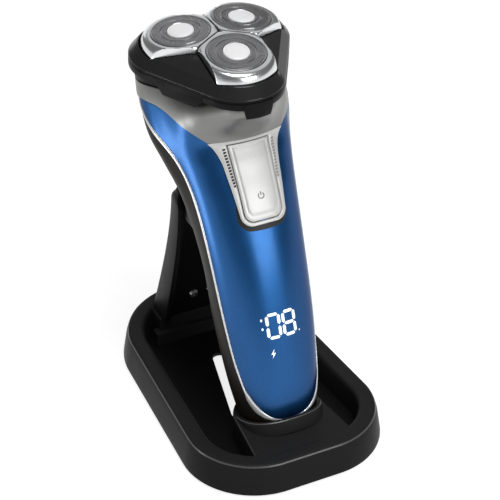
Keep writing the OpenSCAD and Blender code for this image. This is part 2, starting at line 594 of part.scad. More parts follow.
// Tongue: outlines on the front face as half width and height
function face_angle(x, u) = let (s = along(sections, u), f = min(abs(x) / (s[3] + 1), 0.95))
    270 + atan2(x, (s[4] + 1) * pow(1 - pow(f, s[6]), 1 / s[6]));
function tongue_width(u) = tongue_half + tongue_taper * (u - tongue_low) / tongue_len
    + tongue_flare * pow(max(1 - (collar_front_u - u) / 11, 0), 2);
function window_width(u) = tongue_half - tongue_frame + 0.8 * (u - tongue_low) / tongue_len;
function side_width(u, window) = window ? window_width(u) : tongue_width(u);
function tongue_outline(window, inset, low, high, r) = concat(
    [for (i = [0:8]) let (a = 270 + 90 * i / 8)
        [side_width(low + r, window) - inset - r + r * cos(a), low + r + r * sin(a)]],
    [for (i = [1:12]) let (u = mix(low + r, high, i / 12)) [side_width(u, window) - inset, u]],
    [for (i = [1:9]) [(side_width(high, window) - inset) * (1 - i / 5), high]],
    [for (i = [0:11]) let (u = mix(high, low + r, i / 12)) [inset - side_width(u, window), u]],
    [for (i = [0:8]) let (a = 180 + 90 * i / 8)
        [inset - side_width(low + r, window) + r + r * cos(a), low + r + r * sin(a)]]);
button_low = tongue_low + tongue_frame + 0.3;
button_high = collar_front_u - 1.6;
tongue_edge = tongue_outline(false, 0, tongue_low, collar_front_u - seam_gap, 4.6);
window_edge = tongue_outline(true, 0, button_low, button_high, 3.8);
plate_edge = tongue_outline(true, button_gap, button_low + button_gap, button_high - button_gap, 3.5);
function draped(p, off) = skin(p[1], face_angle(p[0], p[1]), off);
module button_bezel() color("#c3c6c9") in_handle() {
    tops = [for (f = [0, 0.5, 1]) [for (i = [0:len(tongue_edge) - 1])
        draped(mix(tongue_edge[i], window_edge[i], f), tongue_step - (f == 0 ? 0.3 : 0))]];
    feet = [for (f = [0, 0.5, 1]) [for (i = [0:len(tongue_edge) - 1])
        draped(mix(tongue_edge[i], window_edge[i], f), 0.3)]];
    band(tops, feet);
}
button_mid = [0, (button_low + button_high) / 2];
stem_u = mix(front_low(0.5), front_high(0.5), 20 / front_rows);
module power_button() color("#d6d8da") in_handle() {
    shares = [1, 0.75, 0.5, 0.25];
    tops = [for (f = shares) [for (p = plate_edge) draped(mix(button_mid, p, f), tongue_step - 0.05)]];
    feet = [for (f = shares) [for (p = plate_edge)
        draped(mix(button_mid, p, f), tongue_step - 0.05 - button_t)]];
    n = len(plate_edge);
    rows = len(shares);
    points = concat([for (r = tops) each r], [for (r = feet) each r],
        [draped(button_mid, tongue_step - 0.05), draped(button_mid, tongue_step - 0.05 - button_t)]);
    polyhedron(points, concat(grid_faces(rows, n, 0, false, true),
        grid_faces(rows, n, rows * n, true, true),
        strip_faces([for (c = [0:n]) c % n], rows * n, false),
        [for (c = [0:n - 1]) [2 * rows * n, (rows - 1) * n + (c + 1) % n, (rows - 1) * n + c]],
        [for (c = [0:n - 1]) [2 * rows * n + 1, (2 * rows - 1) * n + c, (2 * rows - 1) * n
            + (c + 1) % n]]));
    translate([0, switch_face + 0.05 - button_travel - 0.1, stem_u]) rotate([90, 0, 0])
        cylinder(d = 2.6, h = switch_face - button_travel - 0.05
            - draped([0, stem_u], tongue_step - 0.4)[1], $fn = 32);
}
module bottom_cap() color("#161719") in_handle() difference() {
    union() {
        loft([skin_ring(0, -0.8), skin_ring(0.5, -0.2), skin_ring(trim_low - seam_gap, 0)]);
        translate([-pin_pitch / 2 - 3, -5, 1]) cube([pin_pitch + 6, 10, 6]);
    }
    for (s = [-1, 1]) translate([s * pin_pitch / 2, 0, -1]) cylinder(d = pin_d + 0.8, h = 10, $fn = 32);
}
module charge_contacts() color("#c9a24a") in_handle() for (s = [-1, 1])
    translate([s * pin_pitch / 2, 0, 3.4])
    cylinder(d = pin_d + 0.6, h = 1.5, $fn = 32);
board_y = -9;
switch_face = board_y - 2.2;
module chassis() color("#d9d7cf") in_handle() difference() {
    union() {
        translate([-12.2, -6.6, board_low - 3]) cube([24.4, 1.4, board_high - board_low + 5]);
        for (s = [0, 1]) mirror([s, 0, 0]) translate([10.8, -6.6, board_low - 3])
            cube([1.4, 11, board_high - board_low - 12]);
        for (s = [-1, 1], u = [board_low + 4, board_high - 5]) translate([s * 8.5, -6, u])
            rotate([90, 0, 0])
            cylinder(r = 2, h = -board_y - 6 - board_t, $fn = 32);
    }
    for (s = [-1, 1], u = [board_low + 4, board_high - 5]) translate([s * 8.5, 0, u]) rotate([90, 0, 0])
        cylinder(r = 0.85, h = 20, $fn = 32);
}
module main_board() color("#1f6b3a") in_handle() difference() {
    translate([-board_w / 2, board_y, board_low]) cube([board_w, board_t, board_high - board_low]);
    for (s = [-1, 1], u = [board_low + 4, board_high - 5]) translate([s * 8.5, 0, u]) rotate([90, 0, 0])
        cylinder(r = 0.95, h = 20, $fn = 32);
}
module board_screws() color("#9a9ca0") in_handle() for (s = [-1, 1], u = [board_low + 4, board_high - 5])
    translate([s * 8.5, board_y, u]) rotate([90, 0, 0]) {
        cylinder(r = 1.5, h = 0.9, $fn = 32);
        translate([0, 0, -3.4]) cylinder(r = 0.8, h = 3.4, $fn = 32);
    }
module power_switch() color("#b9bbbe") in_handle() translate([0, board_y, stem_u]) rotate([90, 0, 0]) {
    translate([-3, -3, 0]) cube([6, 6, 1.5]);
    translate([0, 0, 1.5]) cylinder(d = 3, h = board_y - switch_face - 1.5, $fn = 32);
}
module display_module() color("#e8e8e4") in_handle() difference() {
    translate([-display_w / 2, board_y - 5, display_u - display_h / 2]) cube([display_w, 5, display_h]);
    for (s = [-1, 1], k = [-1, 1]) translate([s * display_w * 0.22 - 2, board_y - 5.1, display_u
        + k * display_h * 0.2 - 1.6])
        cube([4, 0.6, 3.2]);
}
battery_y = -4.9 + battery_d / 2;
module battery_cell() color("#3f6f52") in_handle() translate([0, battery_y, board_low + 2]) {
    cylinder(d = battery_d, h = battery_len, $fn = 64);
    translate([0, 0, battery_len]) cylinder(d = battery_d * 0.4, h = 1, $fn = 48);
}
module battery_tabs() color("#c8cacc") in_handle() {
    translate([-2, battery_y - 3, board_low + 1.8]) cube([4, 6, 0.2]);
    translate([-2, battery_y - 3, board_low + battery_len + 3]) cube([4, 6, 0.2]);
}

// Drive, in the head's frame
gear_module = 2 * cell_r / (pinion_teeth + gear_teeth);
gear_top = -21.4;
gear_low = gear_top - gear_w;
plate_z = gear_low - 0.4;
cover_z = -20.4;
motor_top = plate_z - 1.6;
module gear_outline(teeth, turn) {
    rp = gear_module * teeth / 2;
    half = 90 / teeth;
    thin = gear_play / rp * 90 / PI;
    union() {
        circle(r = rp - 1.25 * gear_module, $fn = 64);
        for (k = [0:teeth - 1]) rotate(turn + 360 * k / teeth) polygon([
            [rp - 1.6 * gear_module, -(rp - 1.25 * gear_module) * sin(half * 1.3 - thin)],
            [rp * cos(half - thin), -rp * sin(half - thin)],
            [rp + 0.75 * gear_module, -rp * sin(half * 0.5 - thin)],
            [rp + 0.75 * gear_module, rp * sin(half * 0.5 - thin)],
            [rp * cos(half - thin), rp * sin(half - thin)],
            [rp - 1.6 * gear_module, (rp - 1.25 * gear_module) * sin(half * 1.3 - thin)]]);
    }
}
screw_angles = [90, 210, 330];
module gear_plate() color("#cfd2d4") in_head() difference() {
    union() {
        translate([0, 0, plate_z - 1.6]) linear_extrude(1.6) polygon(tri_pts(cell_r, 7.5));
        for (a = cell_angle) rotate(a) translate([cell_r, 0, plate_z - 0.5]) {
            cylinder(d = axle_d + 1.6, h = 0.8, $fn = 32);
            cylinder(d = axle_d, h = gear_w + 0.7, $fn = 32);
        }
        for (a = screw_angles) rotate(a) translate([12.4, 0, plate_z - 0.5])
            cylinder(r = 1.9, h = cover_z - plate_z + 0.5, $fn = 32);
    }
    translate([0, 0, plate_z - 3]) cylinder(d = 5, h = 6, $fn = 32);
    for (a = screw_angles) rotate(a) translate([12.4, 0, plate_z - 3]) cylinder(r = 0.85, h = 12, $fn = 32);
}
module gear_cover() color("#2a2b2e") in_head() difference() {
    translate([0, 0, cover_z]) linear_extrude(1.2) polygon(tri_pts(cell_r, 10.3));
    for (a = cell_angle) rotate(a) translate([cell_r, 0, cover_z - 1])
        cylinder(d = spindle_d + 3.2, h = 4, $fn = 40);
    for (a = screw_angles) rotate(a) translate([12.4, 0, cover_z - 1]) cylinder(r = 0.95, h = 4, $fn = 32);
}
module gear_screws() color("#9a9ca0") in_head() for (a = screw_angles) rotate(a)
    translate([12.4, 0, cover_z + 1.2]) {
    cylinder(r = 1.6, h = 0.7, $fn = 32);
    translate([0, 0, -4.4]) cylinder(r = 0.8, h = 4.4, $fn = 32);
}
module neck_gasket() color("#3a3b3d") in_head() translate([0, 0, cover_z]) linear_extrude(1) difference() {
    polygon(tri_pts(cell_r, 11));
    polygon(tri_pts(cell_r, 10.35));
}
module spindle_seals() color("#3a3b3d") in_head() for (a = cell_angle) rotate(a)
    translate([cell_r, 0, cover_z]) rotate_extrude($fn = 48)
    polygon([[spindle_d / 2 + 0.3, 0.9], [spindle_d / 2 + 0.3, 1.5], [spindle_d / 2 + 1.55, 1.5],
        [spindle_d / 2 + 1.55, 0.2]]);
module motor_can() color("#b7babd") in_head() rotate_extrude($fn = 64)
    polygon([[2.3, motor_top], [motor_d / 2, motor_top],
    [motor_d / 2, motor_top - motor_len + 2], [motor_d / 2 - 0.7, motor_top - motor_len + 2],
        [motor_d / 2 - 0.7, motor_top - 0.7],
    [2.3, motor_top - 0.7]]);
module motor_end_cap() color("#2b2d30") in_head() rotate_extrude($fn = 64)
    polygon([[2.3, motor_top - motor_len],
    [motor_d / 2, motor_top - motor_len], [motor_d / 2, motor_top - motor_len + 1.9],
        [motor_d / 2 - 0.8, motor_top - motor_len + 1.9],
    [motor_d / 2 - 0.8, motor_top - motor_len + 3], [2.3, motor_top - motor_len + 3]]);
module motor_bushes() color("#b08a4a") in_head() for (z = [motor_top - 1.6, motor_top - motor_len + 0.6])
    translate([0, 0, z])
    rotate_extrude($fn = 48) polygon([[shaft_d / 2 + run_gap, 0], [2.25, 0], [2.25, 1.8],
        [shaft_d / 2 + run_gap, 1.8]]);
module motor_shaft() color("#d5d7da") in_head() translate([0, 0, motor_top - motor_len + 0.3])
    cylinder(d = shaft_d, h = gear_top - motor_top + motor_len - 0.4, $fn = 48);
module motor_armature() color("#9c6a3c") in_head() difference() {
    translate([0, 0, motor_top - motor_len + 4]) linear_extrude(motor_len - 6.6) union() {
        circle(d = motor_d * 0.4, $fn = 48);
        for (k = [0:2]) rotate(120 * k) translate([0, -motor_d * 0.11])
            square([motor_d * 0.37, motor_d * 0.22]);
    }
    translate([0, 0, motor_top - motor_len]) cylinder(d = shaft_d, h = motor_len, $fn = 48);
}
module drive_pinion() color("#e2c97a") in_head() difference() {
    translate([0, 0, gear_low]) linear_extrude(gear_w) gear_outline(pinion_teeth, cell_angle[1]);
    translate([0, 0, gear_low - 1]) cylinder(d = shaft_d, h = gear_w + 2, $fn = 48);
}
module drive_gear(i) color("#eceae4") at_spindle(i) difference() {
    translate([0, 0, gear_low]) linear_extrude(gear_w) gear_outline(gear_teeth, 180 + 180 / gear_teeth);
    translate([0, 0, gear_low - 1]) cylinder(d = axle_d + 2 * run_gap, h = gear_w + 2, $fn = 48);
}
module drive_gear_front() drive_gear(0);
module drive_gear_right() drive_gear(1);
module drive_gear_left() drive_gear(2);
spindle_top = -5.8;
module spindle(i) color("#d9d7cf") at_spindle(i) {
    translate([0, 0, gear_top]) cylinder(d = spindle_d + 1.6, h = 0.6, $fn = 48);
    translate([0, 0, gear_top + 0.6]) cylinder(d = spindle_d, h = spindle_top - 2.6 - gear_top - 0.6,
        $fn = 48);
    translate([0, 0, spindle_top - 2.6]) cylinder(r = 1.4, h = 2.6, $fn = 6);
}
module spindle_front() spindle(0);
module spindle_right() spindle(1);
module spindle_left() spindle(2);

// Shaving head
module head_base() color("#141517") difference() {
    union() {
        in_handle() loft([head_ring(-18.2, 15.2, 8.6), collar_ring(head_gap, corner_c - shell_wall - 0.5),
            collar_ring(head_gap, corner_c), collar_ring(3.2, corner_c + 0.5),
            head_ring(-head_wide_z - 1.4, head_corner_r, head_corner_c),
            head_ring(-head_wide_z, head_corner_r, head_corner_c),
            head_ring(-head_wide_z, head_corner_r, head_corner_c - head_wall), head_ring(-16.6, 15, 8)]);
        in_head() {
            for (a = [210, 330]) rotate(a) side_tab();
            front_tab();
            translate([0, 0, tab_edge]) linear_extrude(3.1) difference() {
                polygon(tri_pts(head_corner_r, head_corner_c + 0.05));
                polygon(tri_pts(head_corner_r, head_corner_c - 0.28));
            }
        }
    }
    for (i = [0:2]) at_spindle(i) translate([0, 0, -30])
        cylinder(r = spindle_d / 2 + 1.4, h = 20, $fn = 40);
}
// Grip tabs under the head's two front flats, flush with its sides
tab_edge = -head_wide_z - 3.8;
tab_low = tab_edge - tab_drop;
module side_tab() {
    high = -head_wide_z - 0.7;
    outline = [[-10.5, tab_edge], [-7.4, tab_low], [7.4, tab_low], [10.5, tab_edge],
        [10.5, high], [-10.5, high]];
    seat = head_corner_r / 2 + head_corner_c - 1;
    loft([for (t = [0, 1.1]) [for (p = outline) [seat + t, p[0], p[1]]]]);
}
// Release tab round the head's front corner
module front_tab() intersection() {
    translate([0, 0, tab_low]) linear_extrude(tab_drop + 3.3) difference() {
        polygon(tri_pts(head_corner_r, head_corner_c + 0.6));
        polygon(tri_pts(head_corner_r, head_corner_c - 0.25));
    }
    translate([0, -20, 0]) rotate([90, 0, 0]) linear_extrude(30)
        polygon([[-5.9, 0], [-5.9, tab_edge], [-4.7, tab_low - 1], [4.7, tab_low - 1], [5.9, tab_edge],
            [5.9, 0]]);
}
pocket_z = -ring_drop - cell_travel - 0.3;
// Rounded triangle walked by its outward direction, so that the faces between two such rings are flat
function tri_walk(z, c, n = 20) = [for (k = [0:2], i = [0:n])
    let (b = 30 + 120 * k, a = b - 60 + 120 * i / n)
    [head_corner_r * cos(b) + c * cos(a), head_corner_r * sin(b) + c * sin(a), z]];
module flat_loft(rings) {
    rows = len(rings);
    cols = len(rings[0]);
    polyhedron([for (r = rings) each r], concat(
        [[for (c = [0:cols - 1]) c]], [[for (c = [0:cols - 1]) rows * cols - 1 - c]],
        [for (r = [0:rows - 2], c = [0:cols - 1]) let (d = (c + 1) % cols)
            [r * cols + c, (r + 1) * cols + c, (r + 1) * cols + d, r * cols + d]]));
}
frame_floor = -head_wide_z + 1.3;
module above_head(z) in_head() translate([-75, -75, z]) cube([150, 150, 60]);
module head_frame() color("#141517") difference() {
    union() {
        difference() {
            in_head() flat_loft([tri_walk(-head_wide_z + 0.05, head_corner_c),
                tri_walk(-head_wide_z + 0.6, head_corner_c - 0.2),
                tri_walk(-head_wide_z + 4.5, head_corner_c - 3.3),
                tri_walk(-2, head_corner_c - head_chamfer)]);
            intersection() {
                union() for (i = [0:2]) intersection() {
                    in_cell(i) translate([0, 0, -15]) cylinder(d = ring_d + 0.7, h = 30, $fn = 72);
                    in_head() rotate(cell_angle[i]) translate([-4, -ring_half - 0.45, -20])
                        cube([60, 2 * ring_half + 0.9, 40]);
                }
                above_head(frame_floor);
            }
        }
        for (i = [0:2]) intersection() {
            in_cell(i) translate([0, 0, -15]) cylinder(r = guard_r + 0.4, h = 15 + pocket_z, $fn = 60);
            above_head(frame_floor - 0.9);
        }
    }
    for (i = [0:2]) in_cell(i) translate([0, 0, -20]) cylinder(r = guard_r - 0.8, h = 30, $fn = 60);
}
module retaining_plate() color("#d2d5d8") in_head() translate([0, 0, -12.6]) difference() {
    union() {
        linear_extrude(1.4) polygon(tri_pts(cell_r, 10.4));
        cylinder(r = 3, h = 3, $fn = 40);
    }
    for (a = cell_angle) rotate(a) translate([cell_r - 1, 0, -1]) cylinder(r = 5, h = 6, $fn = 48);
}
module cell_wedge(i) in_head() rotate(cell_angle[i]) translate([0, 0, -15]) linear_extrude(30) polygon([
    [ring_gap / 2 / sin(60), 0], [(ring_half + ring_gap) / tan(60), ring_half], [60, ring_half],
    [60, -ring_half], [(ring_half + ring_gap) / tan(60), -ring_half]]);
ring_r = ring_d / 2;
bore_r = guard_d / 2 + 0.15;
module cell_ring(i) color("#d4d7da") intersection() {
    in_cell(i) rotate_extrude($fn = 96) polygon([[bore_r, 0.1], [ring_r - 2.6, 0.1], [ring_r - 1.7, -0.5],
        [ring_r - 0.8, -1.9],
        [ring_r - 0.3, -3.4], [ring_r, -ring_drop], [ring_r - 1, -ring_drop], [ring_r - 1.6, -3],
            [ring_r - 2.2, -1.7],
        [ring_r - 2.7, -1.1], [bore_r, -1.1]]);
    cell_wedge(i);
}
module cell_ring_front() cell_ring(0);
module cell_ring_right() cell_ring(1);
module cell_ring_left() cell_ring(2);
guard_r = guard_d / 2;
module guard(i) color("#a9adb1") in_cell(i) difference() {
    rotate_extrude($fn = 96) polygon([[0, -0.4], [cap_d / 2 + 0.3, -0.4], [cap_d / 2 + 0.5, 0.5],
        [guard_r - 4.2, 0.5],
        [guard_r - 4, 0], [guard_r - 3.6, 0], [guard_r - 3.4, 0.55], [guard_r - 1, 0.55],
            [guard_r - 0.8, 0.1], [guard_r - 0.5, 0.1],
        [guard_r - 0.4, 0.5], [guard_r, 0.4], [guard_r, -1.3], [guard_r + 0.8, -1.3], [guard_r + 0.8, -2],
            [guard_r, -2], [guard_r, -4.4],
        [guard_r - 0.6, -4.4], [guard_r - 0.6, -0.45], [cap_d / 2 + 0.5, -0.45], [cap_d / 2 + 0.3, -0.9],
            [0, -0.9]]);
    for (k = [0:guard_slots - 1]) rotate(360 * (k + 0.5) / guard_slots)
        translate([cap_d / 2 + 0.9, -0.25, -0.3])
        cube([guard_r - cap_d / 2 - 2, 0.5, 2]);
}
module guard_front() guard(0);
module guard_right() guard(1);
module guard_left() guard(2);
// Wave spring between the frame's seat and the guard's skirt
function wave_ring(r, dz) = [for (k = [0:59]) [r * cos(6 * k), r * sin(6 * k),
    (pocket_z - 4.4) / 2 + dz + (-4.4 - pocket_z - 0.5) / 2 * sin(30 * k)]];
module cell_spring(i) color("#c4c7ca") in_cell(i) {
    rings = [wave_ring(guard_r + 0.3, -0.2), wave_ring(guard_r + 0.3, 0.2), wave_ring(guard_r - 0.6, 0.2),
        wave_ring(guard_r - 0.6, -0.2)];
    polyhedron([for (r = rings) each r], grid_faces(4, 60, 0, false, true, true));
}
module cell_spring_front() cell_spring(0);
module cell_spring_right() cell_spring(1);
module cell_spring_left() cell_spring(2);
module guard_cap(i) color("#e9ebee") in_cell(i) rotate_extrude($fn = 64)
    polygon([[0, -0.4], [cap_d / 2, -0.4], [cap_d / 2, 0.5],
    [cap_d / 2 - 0.3, 0.75], [cap_d / 2 - 1.2, 0.85], [0, 0.9]]);
module guard_cap_front() guard_cap(0);
module guard_cap_right() guard_cap(1);
module guard_cap_left() guard_cap(2);
module cutter(i) color("#b5b8bc") in_cell(i) difference() {
    union() {
        rotate_extrude($fn = 64) polygon([[0, -3.7], [cap_d / 2 + 0.6, -3.3], [guard_r - 1.2, -3.3],
            [guard_r - 1.2, -2.6],
            [cap_d / 2 + 0.6, -2.6], [0, -3]]);
        translate([0, 0, -8]) cylinder(r = 3.7, h = 4.8, $fn = 48);
        for (k = [0:blade_count - 1]) rotate(360 * k / blade_count) translate([cap_d / 2 + 1, 0, -2.8])
            rotate([15, 0, 0])
            translate([0, -0.3, 0]) cube([guard_r - cap_d / 2 - 2.4, 0.6, 2.1]);
    }
    translate([0, 0, -9]) cylinder(r = 2.7, h = 5, $fn = 6);
}
module cutter_front() cutter(0);
module cutter_right() cutter(1);
module cutter_left() cutter(2);

stand_base();
stand_bottom_plate();
stand_feet();
stand_screws();
stand_post();
post_back_cover();
post_pad();
charge_pins();
charge_board();
power_inlet();
front_shell();
back_shell();
side_trim();
neck_collar();
button_bezel();
power_button();
bottom_cap();
charge_contacts();
chassis();
main_board();
power_switch();
display_module();
board_screws();
battery_cell();
battery_tabs();
gear_plate();
gear_cover();
gear_screws();
neck_gasket();
spindle_seals();
motor_can();
motor_end_cap();
motor_bushes();
motor_armature();
motor_shaft();
drive_pinion();
drive_gear_front();
drive_gear_right();
drive_gear_left();
spindle_front();
spindle_right();
spindle_left();
head_base();
head_frame();
retaining_plate();
cell_ring_front();
cell_ring_right();
cell_ring_left();
guard_front();
guard_right();
guard_left();
cell_spring_front();
cell_spring_right();
cell_spring_left();
guard_cap_front();
guard_cap_right();
guard_cap_left();
cutter_front();
cutter_right();
cutter_left();
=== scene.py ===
import math

import bmesh
import bpy
import numpy as np
from mathutils import Matrix, Vector


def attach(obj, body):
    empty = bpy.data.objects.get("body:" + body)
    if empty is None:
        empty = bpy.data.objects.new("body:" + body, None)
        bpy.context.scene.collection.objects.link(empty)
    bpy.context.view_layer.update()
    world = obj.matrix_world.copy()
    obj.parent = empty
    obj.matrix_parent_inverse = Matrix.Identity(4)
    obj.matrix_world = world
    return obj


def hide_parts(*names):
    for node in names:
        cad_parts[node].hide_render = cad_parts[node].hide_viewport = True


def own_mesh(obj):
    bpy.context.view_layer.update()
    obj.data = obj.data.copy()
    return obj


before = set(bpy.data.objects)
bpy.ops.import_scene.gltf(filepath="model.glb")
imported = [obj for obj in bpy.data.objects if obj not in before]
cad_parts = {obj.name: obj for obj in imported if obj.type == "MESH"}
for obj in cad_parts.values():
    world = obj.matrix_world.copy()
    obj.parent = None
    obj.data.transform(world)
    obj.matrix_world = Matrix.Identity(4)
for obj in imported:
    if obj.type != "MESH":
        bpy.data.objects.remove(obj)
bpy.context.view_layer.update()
MM = 0.001

# Sizes in millimetres and angles in degrees, the same as in the part's source but for the finer seam gap
LEAN = 18.8
DOCK = np.array([0.0, -32.0, 10.7])

# Handle
HANDLE_LEN = 139.0
GRIP_HALF, GRIP_FRONT, GRIP_BACK = 20.3, 18.4, 19.0
CORNER_R, CORNER_C = 21.0, 11.5
WALL = 1.8
TRIM_W, TRIM_STEP = 1.2, 0.3
SEAM_GAP = 0.06
FRONT_LOW, FRONT_RISE = 3.4, 15.0
COLLAR_FRONT_U, COLLAR_SIDE_U = HANDLE_LEN - 20.0, HANDLE_LEN - 6.0
COLLAR_STEP, COLLAR_SWEEP = 0.5, 56.0
TONGUE_LEN, TONGUE_HALF, TONGUE_STEP, TONGUE_FRAME = 35.0, 8.9, 1.5, 1.0
TONGUE_TAPER, TONGUE_FLARE = 3.6, 2.4
TONGUE_LOW = COLLAR_FRONT_U - TONGUE_LEN
TONGUE_CORNER = 4.6
BUTTON_GAP = 0.4

# Head and cells
HEAD_U = 155.3
HEAD_TILT = 21.8
HEAD_CORNER_R, HEAD_CORNER_C = 17.0, 17.5
HEAD_WIDE_Z = 9.4
HEAD_CHAMFER = 10.0
TAB_DROP = 3.4
CELL_R = 14.66
CELL_TILT = 6.0
CELL_ANGLE = {"front": 270.0, "right": 30.0, "left": 150.0}
CELL_FLOAT = 1.2
GUARD_R, CAP_R, RING_R, RING_HALF = 11.4, 5.1, 16.0, 12.4
RING_DROP, RING_GAP = 5.0, 0.6

# Stand
FRONT_HALF, REAR_HALF, STAND_DEPTH = 41.6, 37.4, 130.0
FRONT_CORNER, REAR_CORNER = 30.0, 36.0
RIM_H, RIM_W = 14.0, 9.6
PLATE_TOP = 2.5
CUP_H, CUP_WALL, CUP_GAP = 4.0, 2.2, 0.45
DECK_HALF, DECK_FLARE = 18.2, 2.8
FOOT_HALF, TOP_HALF, FOOT_DEPTH, TOP_DEPTH = 16.8, 21.5, 14.0, 8.0
RECESS, FLANGE = 2.6, 2.6
FOOT_STEP, FOOT_STEP_Z, POST_RISE = 2.5, 8.3, 13.0
PAD_U, PAD_T, PAD_GAP = 84.0, 6.0, 0.4
PAD_HALF, PAD_WRAP = 8.0, 48.0

# Handle sections: share of the length, middle, tilt, half width, front depth, back depth, roundness,
# and the share of the head's triangle at the front and at the back
MIDDLE, TILT, HALF, FRONT, BACK, ROUND, TRI_FRONT, TRI_BACK = range(1, 9)
SHARES = np.array([
    [0.000, -1.5, 0.0, 0.59, 0.59, 0.58, 2.60, 0.00, 0.00],
    [0.029, -1.5, 0.0, 0.72, 0.73, 0.68, 2.60, 0.00, 0.00],
    [0.086, -1.5, 0.0, 0.81, 0.88, 0.79, 2.40, 0.00, 0.00],
    [0.180, -1.5, 0.0, 0.89, 0.97, 0.89, 2.25, 0.00, 0.00],
    [0.324, -1.5, 0.0, 0.96, 1.00, 0.98, 2.15, 0.00, 0.00],
    [0.504, -1.0, 0.0, 1.00, 0.97, 1.00, 2.10, 0.00, 0.00],
    [0.683, 0.0, 0.0, 1.03, 0.85, 1.01, 2.10, 0.00, 0.26],
    [0.777, 1.2, 3.0, 1.06, 0.77, 1.08, 2.10, 0.00, 0.60],
    [0.856, 2.8, 7.0, 1.13, 0.77, 1.16, 2.10, 0.05, 0.93],
    [0.935, 4.4, 11.0, 1.33, 1.09, 1.21, 2.20, 0.50, 1.00],
    [1.000, 5.4, 14.3, 1.48, 1.63, 1.26, 2.20, 1.00, 1.00]])
SECTIONS = SHARES * [HANDLE_LEN, 1, 1, GRIP_HALF, GRIP_FRONT, GRIP_BACK, 1, 1, 1]

# Left seam between the shells: share of the length and angle
SEAM = np.array([[0, 211], [0.108, 208], [0.216, 200.5], [0.396, 195], [0.612, 189.5], [0.748, 182],
                 [0.835, 172], [0.935, 156]])


# Curves and frames
def along(table, u):
    """Smooth curve through a table's rows, at positions u."""
    u = np.clip(np.asarray(u, float), table[0, 0], table[-1, 0])
    last = len(table) - 1
    ahead = np.minimum(np.arange(last + 1) + 1, last)
    behind = np.maximum(np.arange(last + 1) - 1, 0)
    slope = (table[ahead] - table[behind]) / (table[ahead, 0] - table[behind, 0])[:, None]
    k = np.clip(np.searchsorted(table[:, 0], u, side="right") - 1, 0, last - 1)
    d = (table[k + 1, 0] - table[k, 0])[..., None]
    f = (u - table[k, 0])[..., None] / d
    g, h = f * f, f * f * f
    return ((2 * h - 3 * g + 1) * table[k] + (h - 2 * g + f) * d * slope[k]
            + (3 * g - 2 * h) * table[k + 1] + (h - g) * d * slope[k + 1])


def ease(x):
    c = np.clip(x, 0, 1)
    return c * c * (3 - 2 * c)


def mix(a, b, f):
    return a + (b - a) * f


def cosd(a):
    return np.cos(np.radians(a))


def sind(a):
    return np.sin(np.radians(a))


def around(n):
    """Evenly spaced angles of a full turn."""
    return np.linspace(0, 360, n, endpoint=False)


def polar(r, a, z):
    """Points by radius, angle and height."""
    r, a, z = np.broadcast_arrays(np.asarray(r, float), a, z)
    return np.stack([r * cosd(a), r * sind(a), z], -1)


def tri_radius(a, r, c):
    """Radius at angle a of a triangle whose round corners have radius c and centres at distance r."""
    f = np.abs(np.mod(np.asarray(a, float) + 510, 120) - 60)
    t = math.degrees(math.atan2(c * math.sin(math.radians(60)), r + c * 0.5))
    curve = r * cosd(f) + np.sqrt(np.maximum(c * c - (r * sind(f)) ** 2, 0))
    return np.where(f < t, curve, (r / 2 + c) / cosd(60 - f))


def skin(u, a, off=0.0):
    """Points of the handle's skin, in the handle's own frame."""
    u, a = np.broadcast_arrays(np.asarray(u, float), np.asarray(a, float))
    s = along(SECTIONS, u)
    depth = np.where(sind(a) < 0, s[..., FRONT], s[..., BACK])
    n = s[..., ROUND]
    oval = ((np.abs(cosd(a)) / s[..., HALF]) ** n + (np.abs(sind(a)) / depth) ** n) ** (-1 / n)
    share = mix(s[..., TRI_FRONT], s[..., TRI_BACK], ease((sind(a) + 0.8) / 1.2))
    r = mix(oval, tri_radius(a, CORNER_R, CORNER_C), share) + off
    y = s[..., MIDDLE] + r * sind(a) * cosd(s[..., TILT])
    return np.stack([r * cosd(a), y, u + r * sind(a) * sind(s[..., TILT])], -1)


def turn(p, axis, d):
    """Points turned by d degrees round an axis: 0 is X, 1 is Y and 2 is Z."""
    p = np.asarray(p, float)
    c, s = math.cos(math.radians(d)), math.sin(math.radians(d))
    i, j = (axis + 1) % 3, (axis + 2) % 3
    turned_p = p.copy()
    turned_p[..., i] = p[..., i] * c - p[..., j] * s
    turned_p[..., j] = p[..., i] * s + p[..., j] * c
    return turned_p


def from_handle(p):
    return turn(p, 0, -LEAN) + DOCK


def head_to_handle(p):
    return turn(p, 0, HEAD_TILT) + [0, 0, HEAD_U]


def from_head(p):
    return from_handle(head_to_handle(p))


def cell_to_head(p, cell):
    return turn(turn(p, 1, CELL_TILT) + [CELL_R, 0, 0], 2, CELL_ANGLE[cell])


def from_cell(p, cell):
    return from_head(cell_to_head(p, cell))


# Meshes
WELD = 2e-7


